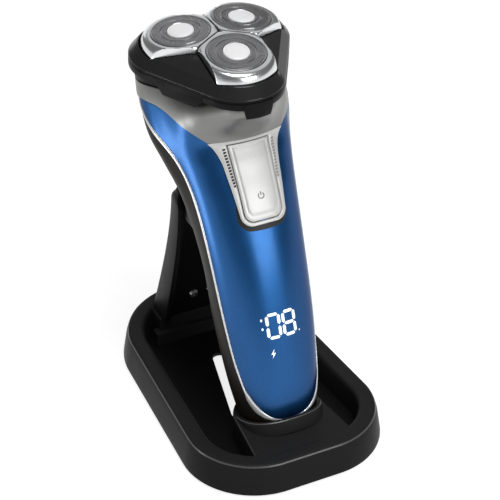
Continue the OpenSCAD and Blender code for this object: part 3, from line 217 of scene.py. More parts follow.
class Shape:
    """Points and faces gathered from several grids into one mesh."""

    def __init__(self):
        self.points = []
        self.faces = []

    def grid(self, p, wrap_c=False, wrap_r=False, flip=False, hole=None):
        rows, cols = p.shape[:2]
        base = len(self.points)
        self.points.extend(map(tuple, np.asarray(p, float).reshape(-1, 3)))
        for r in range(rows if wrap_r else rows - 1):
            for c in range(cols if wrap_c else cols - 1):
                if hole and hole[0] <= r < hole[1] and hole[2] <= c < hole[3]:
                    continue
                here, there = base + r * cols, base + (r + 1) % rows * cols
                c2 = (c + 1) % cols
                f = [here + c, here + c2, there + c2, there + c]
                self.faces.append(f[::-1] if flip else f)
        return base

    def cap(self, ids, flip=False):
        self.faces.append(list(ids)[::-1] if flip else list(ids))

    def strip(self, a, b):
        for i in range(len(a) - 1):
            self.faces.append([a[i], a[i + 1], b[i + 1], b[i]])

    def ring(self, p):
        """Closed rings, with the last joined to the first."""
        self.grid(p, wrap_c=True, wrap_r=True)

    def loft(self, p):
        """Closed rings from low to high, with flat ends."""
        rows, cols = p.shape[:2]
        base = self.grid(p, wrap_c=True)
        self.cap(range(base, base + cols), True)
        self.cap(range(base + (rows - 1) * cols, base + rows * cols))

    def sweep(self, p):
        """A closed profile, one row for each of its points, run along the columns, with flat ends."""
        rows, cols = p.shape[:2]
        base = self.grid(p, wrap_r=True)
        self.cap(range(base, base + rows * cols, cols))
        self.cap(range(base + cols - 1, base + rows * cols, cols), True)

    def slab(self, outer, inner, hole=None):
        """A sheet with thickness, and an optional opening."""
        rows, cols = outer.shape[:2]
        a = self.grid(outer, hole=hole)
        b = self.grid(inner, flip=True, hole=hole)
        edge = list(range(cols)) + [r * cols + cols - 1 for r in range(1, rows)]
        edge += [rows * cols - 1 - c for c in range(1, cols)]
        edge += [(rows - 1 - r) * cols for r in range(1, rows)]
        self.strip([b + i for i in edge], [a + i for i in edge])
        if hole:
            low, high, left, right = hole
            lip = [low * cols + c for c in range(left, right + 1)]
            lip += [r * cols + right for r in range(low + 1, high + 1)]
            lip += [high * cols + right - c for c in range(1, right - left + 1)]
            lip += [(high - r) * cols + left for r in range(1, high - low + 1)]
            self.strip([a + i for i in lip], [b + i for i in lip])

    def object(self, name, sharp=35.0):
        mesh = bpy.data.meshes.new(name)
        mesh.from_pydata([tuple(v * MM for v in p) for p in self.points], [], self.faces)
        shape = bmesh.new()
        shape.from_mesh(mesh)
        bmesh.ops.remove_doubles(shape, verts=shape.verts, dist=WELD)
        bmesh.ops.recalc_face_normals(shape, faces=shape.faces)
        shape.to_mesh(mesh)
        shape.free()
        shade(mesh, sharp)
        obj = bpy.data.objects.new(name, mesh)
        bpy.context.scene.collection.objects.link(obj)
        return obj


def shade(mesh, sharp):
    """Smooth shading, with sharp edges above an angle."""
    mesh.polygons.foreach_set("use_smooth", [True] * len(mesh.polygons))
    mesh.set_sharp_from_angle(angle=math.radians(sharp))


def settle(obj, sharp=35.0):
    """Puts an object's modifiers into its mesh."""
    graph = bpy.context.evaluated_depsgraph_get()
    mesh = bpy.data.meshes.new_from_object(obj.evaluated_get(graph))
    obj.modifiers.clear()
    obj.data = mesh
    shade(mesh, sharp)
    return obj


def bevel(obj, width, segments=2, angle=40.0):
    m = obj.modifiers.new("edge", "BEVEL")
    m.width = width * MM
    m.segments = segments
    m.limit_method = "ANGLE"
    m.angle_limit = math.radians(angle)
    m.harden_normals = False
    return settle(obj, 50)


def cut(obj, tool):
    m = obj.modifiers.new("cut", "BOOLEAN")
    m.operation = "DIFFERENCE"
    m.solver = "EXACT"
    m.object = tool
    settle(obj)
    bpy.data.objects.remove(tool)


def dress(obj, body, slot, material, *nodes):
    """Gives a piece its body and material, and hides the nodes that it stands for; the slot argument is not
    used.
    """
    obj.data.materials.clear()
    obj.data.materials.append(material)
    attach(obj, body)
    if nodes:
        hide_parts(*nodes)


# Materials
def put(node, values):
    """Sets a node's sockets to constant values."""
    for name, value in values.items():
        node.inputs[name].default_value = value


def surface(name, colour, rough, metal=0.0, coat=0.0, coat_rough=0.05, grain=1500.0, vary=0.06, rough_vary=0.05,
            bump=0.02, bump_scale=4000.0, specular=0.5, stretch=(1, 1, 1)):
    """A finish with fine colour and roughness variation and a light surface grain."""
    m = bpy.data.materials.new(name)
    m.use_nodes = True
    nodes, links = m.node_tree.nodes, m.node_tree.links
    shader = nodes["Principled BSDF"]
    put(shader, {"Metallic": metal, "Coat Weight": coat, "Coat Roughness": coat_rough,
                 "Specular IOR Level": specular})
    place = nodes.new("ShaderNodeTexCoord")
    scale = nodes.new("ShaderNodeMapping")
    put(scale, {"Scale": stretch})
    links.new(place.outputs["Object"], scale.inputs["Vector"])

    def noise(size, detail):
        texture = nodes.new("ShaderNodeTexNoise")
        put(texture, {"Scale": size, "Detail": detail})
        links.new(scale.outputs["Vector"], texture.inputs["Vector"])
        return texture.outputs["Fac"]

    ramp = nodes.new("ShaderNodeValToRGB")
    dark, light = ramp.color_ramp.elements
    dark.position = 0.3
    dark.color = (*(max(c * (1 - vary), 0) for c in colour), 1)
    light.position = 0.7
    light.color = (*(min(c * (1 + vary), 1) for c in colour), 1)
    links.new(noise(grain, 3), ramp.inputs["Fac"])
    links.new(ramp.outputs["Color"], shader.inputs["Base Color"])
    span = nodes.new("ShaderNodeMapRange")
    put(span, {"To Min": max(rough - rough_vary, 0.01), "To Max": min(rough + rough_vary, 1)})
    links.new(noise(grain * 0.13, 4), span.inputs["Value"])
    links.new(span.outputs["Result"], shader.inputs["Roughness"])
    if bump:
        lift = nodes.new("ShaderNodeBump")
        put(lift, {"Strength": bump, "Distance": 0.0002})
        links.new(noise(bump_scale, 2), lift.inputs["Height"])
        links.new(lift.outputs["Normal"], shader.inputs["Normal"])
    return m


def pearl_blue():
    """Metallic blue with painted shade: its colour turns deeper where the surface is seen edge-on."""
    m = surface("pearl_blue", (0.013, 0.105, 0.32), 0.33, metal=0.9, coat=0.35, coat_rough=0.22, grain=2600,
                vary=0.12)
    nodes, links = m.node_tree.nodes, m.node_tree.links
    shader = nodes["Principled BSDF"]
    put(shader, {"Specular Tint": (0.25, 0.50, 0.75, 1)})
    # Painted shade: the colour is multiplied towards dark navy where the surface is seen edge-on
    seen_edge_on = nodes.new("ShaderNodeLayerWeight")
    put(seen_edge_on, {"Blend": 0.5})
    painted_edge_shade = nodes.new("ShaderNodeMix")
    painted_edge_shade.data_type = "RGBA"
    painted_edge_shade.blend_type = "MULTIPLY"
    put(painted_edge_shade, {"B": (0.05, 0.08, 0.14, 1)})
    links.new(seen_edge_on.outputs["Facing"], painted_edge_shade.inputs["Factor"])
    links.new(nodes["Color Ramp"].outputs["Color"], painted_edge_shade.inputs["A"])
    links.new(painted_edge_shade.outputs["Result"], shader.inputs["Base Color"])
    return m


def digit_glow():
    """Lit white of the display."""
    m = surface("digit_glow", (0.85, 0.92, 1.0), 0.4, vary=0.02, bump=0)
    shader = m.node_tree.nodes["Principled BSDF"]
    put(shader, {"Emission Color": (0.85, 0.93, 1.0, 1), "Emission Strength": 0.75})
    return m


blue = pearl_blue()
dark_shell = surface("dark_shell", (0.010, 0.008, 0.006), 0.45, specular=0.15, bump=0.08, bump_scale=2500)
chrome = surface("trim_chrome", (0.84, 0.85, 0.87), 0.25, metal=0.5, grain=400, vary=0.03, rough_vary=0.03,
                 bump=0)
cell_chrome = surface("cell_chrome", (0.78, 0.79, 0.80), 0.22, metal=1.0, grain=300, vary=0.03, rough_vary=0.03,
                      bump=0)
silver = surface("satin_silver", (0.23, 0.23, 0.225), 0.36, metal=0.95, grain=1800, vary=0.03, rough_vary=0.02,
                 bump=0.01)
pale_silver = surface("tongue_silver", (0.69, 0.69, 0.68), 0.42, metal=0.35, grain=1800, vary=0.03,
                      rough_vary=0.02)
head_gloss = surface("head_black", (0.018, 0.018, 0.019), 0.24, coat=0.2, coat_rough=0.1, specular=0.2,
                     grain=800)
head_matt = surface("head_skirt", (0.009, 0.009, 0.010), 0.4, specular=0.08, grain=800, bump=0.04)
stand_gloss = surface("stand_black", (0.019, 0.019, 0.0195), 0.4, specular=0.05, grain=900, bump=0.05)
post_black = surface("post_black", (0.009, 0.009, 0.0095), 0.4, specular=0.06, grain=900, bump=0.05)
# Lighter grey for the strips on the stand's rounded edges: painted edge highlights
painted_edge_highlight = surface("painted_edge_highlight", (0.08, 0.08, 0.082), 0.3, grain=900, bump=0)
plate_black = surface("stand_plate", (0.006, 0.006, 0.0065), 0.5, specular=0.1, grain=1200, bump=0.2,
                      bump_scale=1800)
steel = surface("guard_steel", (0.43, 0.43, 0.44), 0.26, metal=1.0, grain=2200, vary=0.15, bump=0.05)
# Near-white and barely metallic so the caps read bright under the top lamp: a painted reflection in place of
# the bright reflection on their metal
cap_metal_painted_bright = surface("cap_bright", (0.93, 0.93, 0.94), 0.35, metal=0.1, grain=2600, vary=0.05, bump=0.04)
cutter_steel = surface("cutter_steel", (0.45, 0.45, 0.46), 0.3, metal=1.0, grain=1800, vary=0.1, bump=0.05)
spring_steel = surface("spring_steel", (0.6, 0.6, 0.62), 0.25, metal=1.0, grain=1200, vary=0.05)
pad_rubber = surface("pad_grey", (0.11, 0.11, 0.115), 0.62, bump=0.15, bump_scale=2500)
foot_rubber = surface("foot_rubber", (0.03, 0.03, 0.03), 0.75, bump=0.2, bump_scale=2500)
screw_steel = surface("screw_steel", (0.42, 0.42, 0.44), 0.3, metal=1.0, grain=1800, vary=0.08)
gold = surface("contact_gold", (0.75, 0.55, 0.22), 0.25, metal=1.0)
board_green = surface("board_green", (0.02, 0.16, 0.06), 0.4, coat=0.3, grain=700, vary=0.15)
moulded_black = surface("moulded_black", (0.02, 0.02, 0.022), 0.5, bump=0.12)
nylon = surface("nylon", (0.70, 0.69, 0.65), 0.5, grain=1200, vary=0.04, bump=0.08)
display_white = surface("display_white", (0.8, 0.8, 0.78), 0.5, grain=1200, vary=0.03)
wrap_green = surface("battery_wrap", (0.04, 0.17, 0.09), 0.35, coat=0.3, grain=600, vary=0.08)
alloy = surface("plate_alloy", (0.70, 0.71, 0.72), 0.32, metal=1.0, grain=1800, stretch=(1, 8, 1))
bronze = surface("bush_bronze", (0.55, 0.38, 0.16), 0.35, metal=1.0, grain=2200, vary=0.1)
copper = surface("winding_copper", (0.55, 0.25, 0.1), 0.35, metal=1.0, grain=900, vary=0.15, stretch=(1, 1, 14))
retainer = surface("retainer_grey", (0.25, 0.25, 0.26), 0.5, grain=1400, bump=0.1)
ink = surface("mark_grey", (0.10, 0.10, 0.105), 0.4, vary=0.05)
rib_grey = surface("rib_grey", (0.36, 0.36, 0.36), 0.45, metal=0.3, vary=0.05)
# Near-black for painted shade: in the slit round the button, below the tongue's end and on the left row of ribs
groove = surface("painted_shade_black", (0.008, 0.008, 0.009), 0.5, bump=0.05)
glow = digit_glow()


# Handle shells
def seam(u):
    """Angle of the left seam at a height on the handle."""
    return along(SEAM, np.asarray(u) / HANDLE_LEN)[..., 1]


def seam_step(w):
    """Angle that a width takes up on the grip."""
    return w / GRIP_HALF * 180 / math.pi


def from_front(a):
    """Angle away from the middle of the front."""
    return np.abs(np.mod(np.asarray(a, float) + 270, 360) - 180)


def face_angle(x, u):
    """Angle of the front skin at a distance from the middle plane."""
    s = along(SECTIONS, u)
    f = np.minimum(np.abs(x) / (s[..., HALF] + 1), 0.95)
    y = (s[..., FRONT] + 1) * (1 - f ** s[..., ROUND]) ** (1 / s[..., ROUND])
    return 270 + np.degrees(np.arctan2(x, y))


COLLAR_START = float(face_angle(TONGUE_HALF + TONGUE_TAPER + TONGUE_FLARE, COLLAR_FRONT_U)) - 270


def collar_low(a):
    """Height of the collar's lower edge."""
    t = np.clip((from_front(a) - COLLAR_START) / COLLAR_SWEEP, 0, 1)
    return mix(COLLAR_FRONT_U, COLLAR_SIDE_U, 1 - (1 - t) ** 1.7)


def front_angle(p, u):
    left = seam(u) + seam_step(TRIM_W / 2)
    return mix(left, 540 - left, p)


def front_low(p):
    return FRONT_LOW + FRONT_RISE * np.abs(2 * p - 1) ** 3.2


def front_high(p):
    """Upper edge of the front shell, found by a few steps towards the collar."""
    u = np.full_like(p, COLLAR_FRONT_U + 5)
    for _ in range(5):
        u = collar_low(front_angle(p, u))
    return u - SEAM_GAP


def back_angle(p, u):
    right = 540 - seam(u) + seam_step(TRIM_W / 2)
    left = 360 + seam(u) - seam_step(TRIM_W / 2)
    return mix(right, left, p)


# Rows and columns of the front shell's grid that stay open for the switch under the button
SWITCH_HOLE = (114, 126, 48, 60)


def front_shell():
    p, t = np.meshgrid(np.linspace(0, 1, 109), np.linspace(0, 1, 145))
    u = mix(front_low(p), front_high(p), t)
    a = front_angle(p, u)
    s = Shape()
    s.slab(from_handle(skin(u, a)), from_handle(skin(u, a, -WALL)), SWITCH_HOLE)
    dress(bevel(s.object("front_shell_skin"), 0.2), "handle", "shell_blue", blue, "front_shell")


def back_shell():
    p, t = np.meshgrid(np.linspace(0, 1, 97), np.linspace(0, 1, 121))
    u = mix(FRONT_LOW - 1, COLLAR_SIDE_U - SEAM_GAP, t)
    a = back_angle(p, u)
    s = Shape()
    s.slab(from_handle(skin(u, a)), from_handle(skin(u, a, -WALL)))
    dress(bevel(s.object("back_shell_skin"), 0.2), "handle", "shell_dark", dark_shell, "back_shell")


# Share of the front shell's lower edge at which the trim's outer edge leaves the seam
TRIM_TURN = 0.14
TRIM_FOOT = -1.2


def trim_edges(k):
    """Inner and outer edge of the trim's left half, as height and angle: k is 0 at the top and 2 in front."""
    low, bend = FRONT_LOW - 1, float(front_low(np.array(0.0)))
    half = seam_step(TRIM_W / 2 - SEAM_GAP)
    u = mix(COLLAR_SIDE_U - SEAM_GAP, bend, np.minimum(k, 1))
    inner = np.stack([u, seam(u) + half], -1)
    outer = np.stack([u, seam(u) - half], -1)
    p = np.clip((k - 1) / 2, 0, 0.5)
    ui = front_low(p) - SEAM_GAP
    corner = np.stack([ui, front_angle(p, ui) - seam_step(SEAM_GAP) * (1 - 2 * p)], -1)
    uo = mix(bend, low, np.minimum(p / TRIM_TURN, 1))
    side = seam(uo) - half
    under = mix(side, 270, (p - TRIM_TURN) / (0.5 - TRIM_TURN))
    foot = np.stack([uo, np.where(p <= TRIM_TURN, side, under)], -1)
    first = (k <= 1)[:, None]
    return np.where(first, inner, corner), np.where(first, outer, foot)


def both_sides(edge):
    right = np.stack([edge[::-1, 0], 540 - edge[::-1, 1]], -1)[1:]
    return np.concatenate([edge, right])


def side_trim():
    """A bright line along the seam, and a dark band outside it where the trim widens at the foot."""
    edges = trim_edges(np.concatenate([np.linspace(0, 1, 91), np.linspace(1, 2, 121)[1:]]))
    inner, outer = (both_sides(edge) for edge in edges)
    wide = np.linalg.norm(skin(*outer.T) - skin(*inner.T), axis=1)
    bright = mix(1.2, 2.8, ease((np.abs(skin(*outer.T)[:, 0]) - 8) / 7))
    line = np.clip(1 - bright / wide, 0, 1)

    def strip(name, rows, spans):
        s = Shape()
        for span in spans:
            grid = [skin(*mix(outer[span], inner[span], f[span, None]).T, off) for f, off in rows]
            s.sweep(from_handle(grid))
        return s.object(name)

    steps = [(0, TRIM_FOOT), (0, 0.05), (0.08, 0.2), (0.25, TRIM_STEP), (0.5, TRIM_STEP), (0.75, TRIM_STEP),
             (0.92, 0.2), (1, 0.05), (1, TRIM_FOOT)]
    rows = [(mix(line, 1, f), off) for f, off in steps]
    dress(strip("side_trim_line", rows, [np.arange(len(line))]), "handle", "trim_chrome", chrome, "side_trim")
    steps = [(0, TRIM_FOOT), (0, 0.02), (0.1, 0.1), (0.9, 0.1), (0.97, 0.02), (0.97, TRIM_FOOT)]
    rows = [(line * f, off) for f, off in steps]
    low_part = np.flatnonzero(line > 0.05)
    sides = np.split(low_part, np.flatnonzero(np.diff(low_part) > 1) + 1)
    dress(strip("side_trim_foot", rows, sides), "handle", "shell_dark", dark_shell)


def collar_off(a, f):
    """Height of the collar over the skin: highest above the tongue, and level with the skin at the top."""
    step = mix(COLLAR_STEP, TONGUE_STEP, ease((COLLAR_START + 14 - from_front(a)) / 20))
    return mix(step, 0, f ** 1.5)


def neck_collar():
    a = around(288)
    rows = [(0.0, None), (0.0, -0.35), (0.002, -0.12), (0.012, 0.0)]
    rows += [(f, 0.0) for f in np.linspace(0.03, 0.97, 26)]
    rows += [(0.99, -0.1), (1.0, -0.3), (1.0, None)]
    grid = []
    for f, lift in rows:
        u = mix(collar_low(a), HANDLE_LEN, f)
        rounded = 1.0 if f > 0.5 else ease((from_front(a) - COLLAR_START + 4) / 8)
        grid.append(skin(u, a, -WALL if lift is None else collar_off(a, f) + lift * rounded))
    s = Shape()
    s.ring(from_handle(grid))
    dress(s.object("neck_collar_skin", 45), "handle", "collar_silver", silver, "neck_collar")


# Tongue and button
def draped(p, off):
    """Points on the front face, by their distance from the middle plane and height."""
    return skin(p[..., 1], face_angle(p[..., 0], p[..., 1]), off)


def tongue_width(u):
    flare = np.maximum(1 - (COLLAR_FRONT_U - u) / 11, 0) ** 2
    return TONGUE_HALF + TONGUE_TAPER * (u - TONGUE_LOW) / TONGUE_LEN + TONGUE_FLARE * flare


def window_width(u):
    return TONGUE_HALF - TONGUE_FRAME + 0.8 * (u - TONGUE_LOW) / TONGUE_LEN


def tongue_outline(width, inset, low, high, r):
    """Outline with a round lower end, as distance from the middle plane and height."""
    base = float(width(low + r)) - inset
    a = np.linspace(270, 360, 49)
    corner = np.stack([base - r + r * cosd(a), low + r + r * sind(a)], -1)
    u = np.linspace(low + r, high, 73)[1:]
    half = np.concatenate([corner, np.stack([width(u) - inset, u], -1)])
    edge = float(width(high)) - inset
    x = np.linspace(edge, -edge, 61)[1:-1]
    top = np.stack([x, np.full_like(x, high)], -1)
    return np.concatenate([half, top, half[::-1] * [-1, 1]])


BUTTON_LOW, BUTTON_HIGH = TONGUE_LOW + TONGUE_FRAME + 0.3, COLLAR_FRONT_U - 1.6
WINDOW_CORNER = 3.8
BUTTON_FOOT = 0.85


def button_bezel():
    high = COLLAR_FRONT_U - SEAM_GAP
    outer = tongue_outline(tongue_width, 0, TONGUE_LOW, high, TONGUE_CORNER)
    inner = tongue_outline(window_width, 0, BUTTON_LOW, BUTTON_HIGH, WINDOW_CORNER)
    rounded = ease((high - outer[:, 1]) / 3)
    rows = [(0, 0.3), (0, 0.9), (0.03, 1.2), (0.1, 1.42), (0.2, 1.5), (0.5, 1.5), (0.82, 1.5), (0.93, 1.42),
            (1, 1.15), (1, 0.3)]
    grid = []
    for f, off in rows:
        lift = mix(TONGUE_STEP, off, rounded) if f < 0.5 and off > 0.5 else off
        grid.append(draped(mix(outer, inner, f), lift))
    s = Shape()
    s.ring(from_handle(grid))
    dress(s.object("button_bezel_skin", 50), "handle", "tongue_silver", pale_silver, "button_bezel")


def power_button():
    """Plate with a raised pad, closed by a flat underside."""
    edge = tongue_outline(window_width, BUTTON_GAP, BUTTON_LOW + BUTTON_GAP, BUTTON_HIGH - BUTTON_GAP, 3.5)
    pad = tongue_outline(window_width, 1.9, BUTTON_LOW + 2.4, BUTTON_HIGH - 1.4, 2.6)
    middle = np.array([0, (BUTTON_LOW + BUTTON_HIGH) / 2])
    rows = [(mix(edge, pad, f), off) for f, off in
            ((0, BUTTON_FOOT), (0, 1.05), (0.15, 1.25), (0.5, 1.32), (0.8, 1.3), (1, 1.22))]
    rows += [(mix(pad, middle, f), off) for f, off in ((0.03, 1.3), (0.06, 1.42))]
    rows += [(mix(pad, middle, f), 1.45) for f in (0.15, 0.3, 0.45, 0.6, 0.75, 0.88, 0.96)]
    grid = from_handle([draped(q, off) for q, off in rows])
    feet = from_handle([draped(mix(edge, middle, f), BUTTON_FOOT) for f in (0.96, 0.8, 0.4)])
    s = Shape()
    s.loft(np.concatenate([feet, grid]))
    dress(s.object("power_button_plate", 50), "button", "tongue_silver", pale_silver, "power_button")


def button_slit_shade():
    """Dark strip under the slit round the button: painted shade in the slit."""
    rows = []
    for inset, off in ((-0.05, -0.1), (-0.05, 0.2), (1.2, 0.2), (1.2, -0.1)):
        edge = tongue_outline(window_width, inset, BUTTON_LOW + inset, BUTTON_HIGH - inset,
                              WINDOW_CORNER - inset / 2)
        rows.append(draped(edge, off))
    s = Shape()
    s.ring(from_handle(rows))
    dress(s.object("button_slit_shade", 50), "handle", "tongue_silver", groove)


def tongue_end_shadow():
    """Painted shadow below the free end of the tongue: a dark strip on the shell that fades out up its sides.
    """
    reach = 9
    outer = tongue_outline(tongue_width, 0, TONGUE_LOW, COLLAR_FRONT_U - SEAM_GAP, TONGUE_CORNER)
    keep = outer[:, 1] < TONGUE_LOW + reach
    left, right = outer[keep & (outer[:, 0] < 0)], outer[keep & (outer[:, 0] >= 0)]
    line = np.concatenate([left, np.linspace(left[-1], right[0], 24)[1:-1], right])
    fade = np.sqrt(np.clip(1 - (line[:, 1] - TONGUE_LOW) / reach, 0.003, 1))[:, None]
    away = line - [0, TONGUE_LOW + reach]
    away = away / np.linalg.norm(away, axis=1)[:, None]
    near, far = line - 0.6 * away * fade, line + 2.3 * away * fade
    rows = [(near, -0.1), (near, 0.1), (mix(near, far, 0.9), 0.1), (far, 0.04), (far, -0.1)]
    s = Shape()
    s.sweep(from_handle([draped(q, off) for q, off in rows]))
    dress(s.object("tongue_end_shadow", 50), "handle", "tongue_silver", groove)


RIB_COUNT, RIB_LOW, RIB_PITCH = 13, 100.6, 1.25


def grip_ribs(name, side, finish):
    """Row of short ribs on the tongue beside the button."""
    s = Shape()
    for k in range(RIB_COUNT):
        u = RIB_LOW + RIB_PITCH * k
        x = side * (window_width(u) + 0.5 + 0.05 * k)
        w = 0.42 + 0.012 * k
        corners = np.array([(x - w, u - 0.5), (x + w, u - 0.3), (x + w, u + 0.5), (x - w, u + 0.3)])
        s.loft(from_handle([draped(corners, off) for off in (1.3, 1.62)]))
    dress(s.object(name, 40), "handle", "tongue_silver", finish)


front_shell()
back_shell()
side_trim()
neck_collar()
button_bezel()
power_button()
button_slit_shade()
tongue_end_shadow()
# The left row is a near-black copy of the grey right row: painted shade on the left side of the button
grip_ribs("grip_ribs_left", -1, groove)
grip_ribs("grip_ribs_right", 1, rib_grey)

# Marks on the handle: generic power sign, seven-segment digits and a charge sign
MARK_T = 0.12
SHELL_MARK, BUTTON_MARK = 0.05, 1.49


def flat_mark(s, outline, off, drape):
    """A thin raised tile with the given outline on the front face."""
    s.loft(np.stack([from_handle(drape(np.asarray(outline, float), h)) for h in (off - MARK_T, off)]))


def power_sign():
    """An open ring and a stroke."""
    u, bottom = 95.0, BUTTON_MARK - 0.15
    a = np.linspace(125, 415, 40)
    rows = []
    for r, off in ((0.95, bottom), (0.95, BUTTON_MARK), (1.3, BUTTON_MARK), (1.3, bottom)):
        rows.append(draped(np.stack([r * cosd(a), u + r * sind(a)], -1), off))
    s = Shape()
    s.sweep(from_handle(rows))
    stroke = [(-0.17, u + 0.2), (0.17, u + 0.2), (0.17, u + 1.6), (-0.17, u + 1.6)]
    flat_mark(s, stroke, BUTTON_MARK, draped)
    dress(s.object("power_sign"), "button", "tongue_silver", ink)


def draped_front(p, off):
    """Points on the shell below the tongue, by their distance from the middle plane and height."""
    s = along(SECTIONS, p[..., 1])
    side = np.clip(np.abs(p[..., 0]) / s[..., HALF], 0, 0.98)
    y = s[..., FRONT] * (1 - side ** s[..., ROUND]) ** (1 / s[..., ROUND])
    return skin(p[..., 1], np.degrees(np.arctan2(-y, p[..., 0])), off)


def segment(s, start, end, w):
    """A bar with pointed ends, cut into short steps so that it follows the shell."""
    a, b = np.array(start), np.array(end)
    d = (b - a) / np.linalg.norm(b - a)
    n = np.array([-d[1], d[0]]) * w / 2
    near, far = a + d * w / 2, b - d * w / 2
    rows = [np.concatenate([[a], np.linspace(near + k * n, far + k * n, 8), [b]]) for k in (-1, 0, 1)]
    s.slab(*(from_handle(draped_front(np.stack(rows), h)) for h in (SHELL_MARK, SHELL_MARK - MARK_T)))


SEGMENTS = {"a": ((0, 1), (1, 1)), "b": ((1, 1), (1, 0.5)), "c": ((1, 0.5), (1, 0)), "d": ((0, 0), (1, 0)),
            "e": ((0, 0), (0, 0.5)), "f": ((0, 0.5), (0, 1)), "g": ((0, 0.5), (1, 0.5))}


def digits():
    """The figures 0 and 8, two dots before them and one behind."""
    s = Shape()
    wide, tall, stroke, gap, foot = 4.7, 9.3, 1.2, 0.3, 39.3
    for x, lit in ((-6.2, "abcdef"), (0.3, "abcdefg")):
        for k in lit:
            p, q = ([x, foot] + np.array(end) * [wide, tall] for end in SEGMENTS[k])
            d = (q - p) / np.linalg.norm(q - p) * gap
            segment(s, p + d, q - d, stroke)
    dot = 0.7
    for u in (43.4, 47.0):
        segment(s, (-8.2, u - 0.6), (-8.2, u + 0.6), dot)
    segment(s, (6.4, 39.5), (7.1, 39.5), dot)
    dress(s.object("display_digits"), "handle", "display_white", glow)


def charge_sign():
    s = Shape()
    spot = (-5.4, 32.8)
    bolt = np.array([(0.5, 1.9), (-0.9, -0.2), (-0.1, -0.2), (-0.5, -1.9), (0.9, 0.3), (0.1, 0.3)])
    flat_mark(s, bolt + spot, SHELL_MARK, draped_front)
    dress(s.object("charge_sign"), "handle", "display_white", glow)


power_sign()
digits()
charge_sign()


# Shaving head
def tri_ring(z, r, c):
    """Triangular ring at a level of the head, in the handle's frame."""
    a = around(288)
    return head_to_handle(polar(tri_radius(a, r, c), a, float(z)))


def collar_ring(h, c):
    """Triangular ring at a height over the handle's upper end."""
    a = around(288)
    q = tri_radius(a, CORNER_R, c)
    tilt, centre = SECTIONS[-1, TILT], SECTIONS[-1, MIDDLE]
    y = centre + q * sind(a) * cosd(tilt) - h * sind(tilt)
    return np.stack([q * cosd(a), y, HANDLE_LEN + q * sind(a) * sind(tilt) + h * cosd(tilt)], -1)


SKIRT_LOW, SKIRT_HIGH = -HEAD_WIDE_Z - 3.8, -HEAD_WIDE_Z - 0.7
TAB_LOW = SKIRT_LOW - TAB_DROP


def release_tab(s):
    """Tab at the head's front corner, narrower at its lower end."""
    f, t = np.meshgrid(np.linspace(-1, 1, 25), [0, 0.3, 0.6, 1])
    z = mix(TAB_LOW, SKIRT_HIGH - 0.2, t)
    half = np.where(z > SKIRT_LOW, 5.9, mix(4.95, 5.9, (z - TAB_LOW) / TAB_DROP))
    a = 270 + np.degrees(f * half / (HEAD_CORNER_R + HEAD_CORNER_C))
    radii = [tri_radius(a, HEAD_CORNER_R, HEAD_CORNER_C + step) for step in (0.6, -0.25)]
    s.slab(*(from_head(polar(r, a, z)) for r in radii))


def head_base():
    """Lower half of the head, with its skirt, a tab on two flats and the release tab."""
    s = Shape()
    r, c = HEAD_CORNER_R, HEAD_CORNER_C
    rings = [tri_ring(-18.2, 15.2, 8.6)]
    rings += [collar_ring(h, CORNER_C + step) for h, step in
              ((0.35, -2.3), (0.35, -0.25), (0.45, -0.05), (0.7, 0.05), (3.2, 0.5))]
    rings += [tri_ring(-HEAD_WIDE_Z - drop, r, c - step) for drop, step in
              ((1.4, 0), (0.25, 0), (0, 0.25), (0, 1.6))]
    rings += [tri_ring(-16.6, 15, 8)]
    s.loft(from_handle(rings))
    skirt = [(SKIRT_HIGH, -0.25), (SKIRT_LOW, -0.25), (SKIRT_LOW, 0), (SKIRT_HIGH, 0)]
    s.ring(from_handle([tri_ring(z, r, c + step) for z, step in skirt]))
    flat = r / 2 + c
    outline = [(-10.5, SKIRT_LOW), (-7.4, TAB_LOW), (7.4, TAB_LOW), (10.5, SKIRT_LOW), (10.5, SKIRT_HIGH),
               (-10.5, SKIRT_HIGH)]
    for side in (210, 330):
        rows = np.array([[(flat + t, y, z) for y, z in outline] for t in (-1.0, 0.1)])
        s.loft(from_head(turn(rows, 2, side)))
    release_tab(s)
    obj = bevel(s.object("head_base_shell"), 0.22)
    dress(obj, "head_unit", "head_black", head_matt, "head_base")


FRAME_FLOOR = -HEAD_WIDE_Z + 1.3


def side_limit(a, half):
    """Greatest radius at angle a between two flats on either side of a cell's radial line."""
    return half / np.maximum(np.abs(sind(a)), 1e-6)


def round_tool(cell, r, low, high, half=99.0):
    """A cylinder on a cell's axis, with side flats: low is a level of the head, high one of the cell."""
    s = Shape()
    a = around(144)
    q = np.minimum(r, side_limit(a, half))
    foot = (low + q * cosd(a) * sind(CELL_TILT)) / cosd(CELL_TILT)
    s.loft(from_cell([polar(q, a, z) for z in (foot, float(high))], cell))
    return s.object("tool")


def head_frame():
    """Upper half of the head, with a seat and an opening for each cell."""
    s = Shape()
    r, c = HEAD_CORNER_R, HEAD_CORNER_C
    low, ridge, top = -HEAD_WIDE_Z + 0.6, -HEAD_WIDE_Z + 4.5, -2.0
    lip, slope = 0.2, 3.3
    rings = [tri_ring(z, r, c) for z in (-HEAD_WIDE_Z + 0.05, -HEAD_WIDE_Z + 0.25)]
    rings += [tri_ring(low, r, c - lip)]
    rings += [tri_ring(mix(low, ridge, f), r, c - mix(lip, slope, f)) for f in (0.1, 0.5, 0.95, 1)]
    rings += [tri_ring(mix(ridge, top, f), r, c - mix(slope, HEAD_CHAMFER, f)) for f in (0.05, 0.5, 1)]
    s.loft(from_handle(rings))
    obj = s.object("head_frame_shell")
    for k, cell in enumerate(CELL_ANGLE):
        # The floors differ by a hair, so that no two cuts share a plane
        cut(obj, round_tool(cell, RING_R + 0.35, FRAME_FLOOR + 0.03 * k, 14, RING_HALF + 0.45))
    for cell in CELL_ANGLE:
        cut(obj, round_tool(cell, GUARD_R - 0.8, -20, 10))
    dress(bevel(obj, 0.12), "head_unit", "head_black", head_gloss, "head_frame")


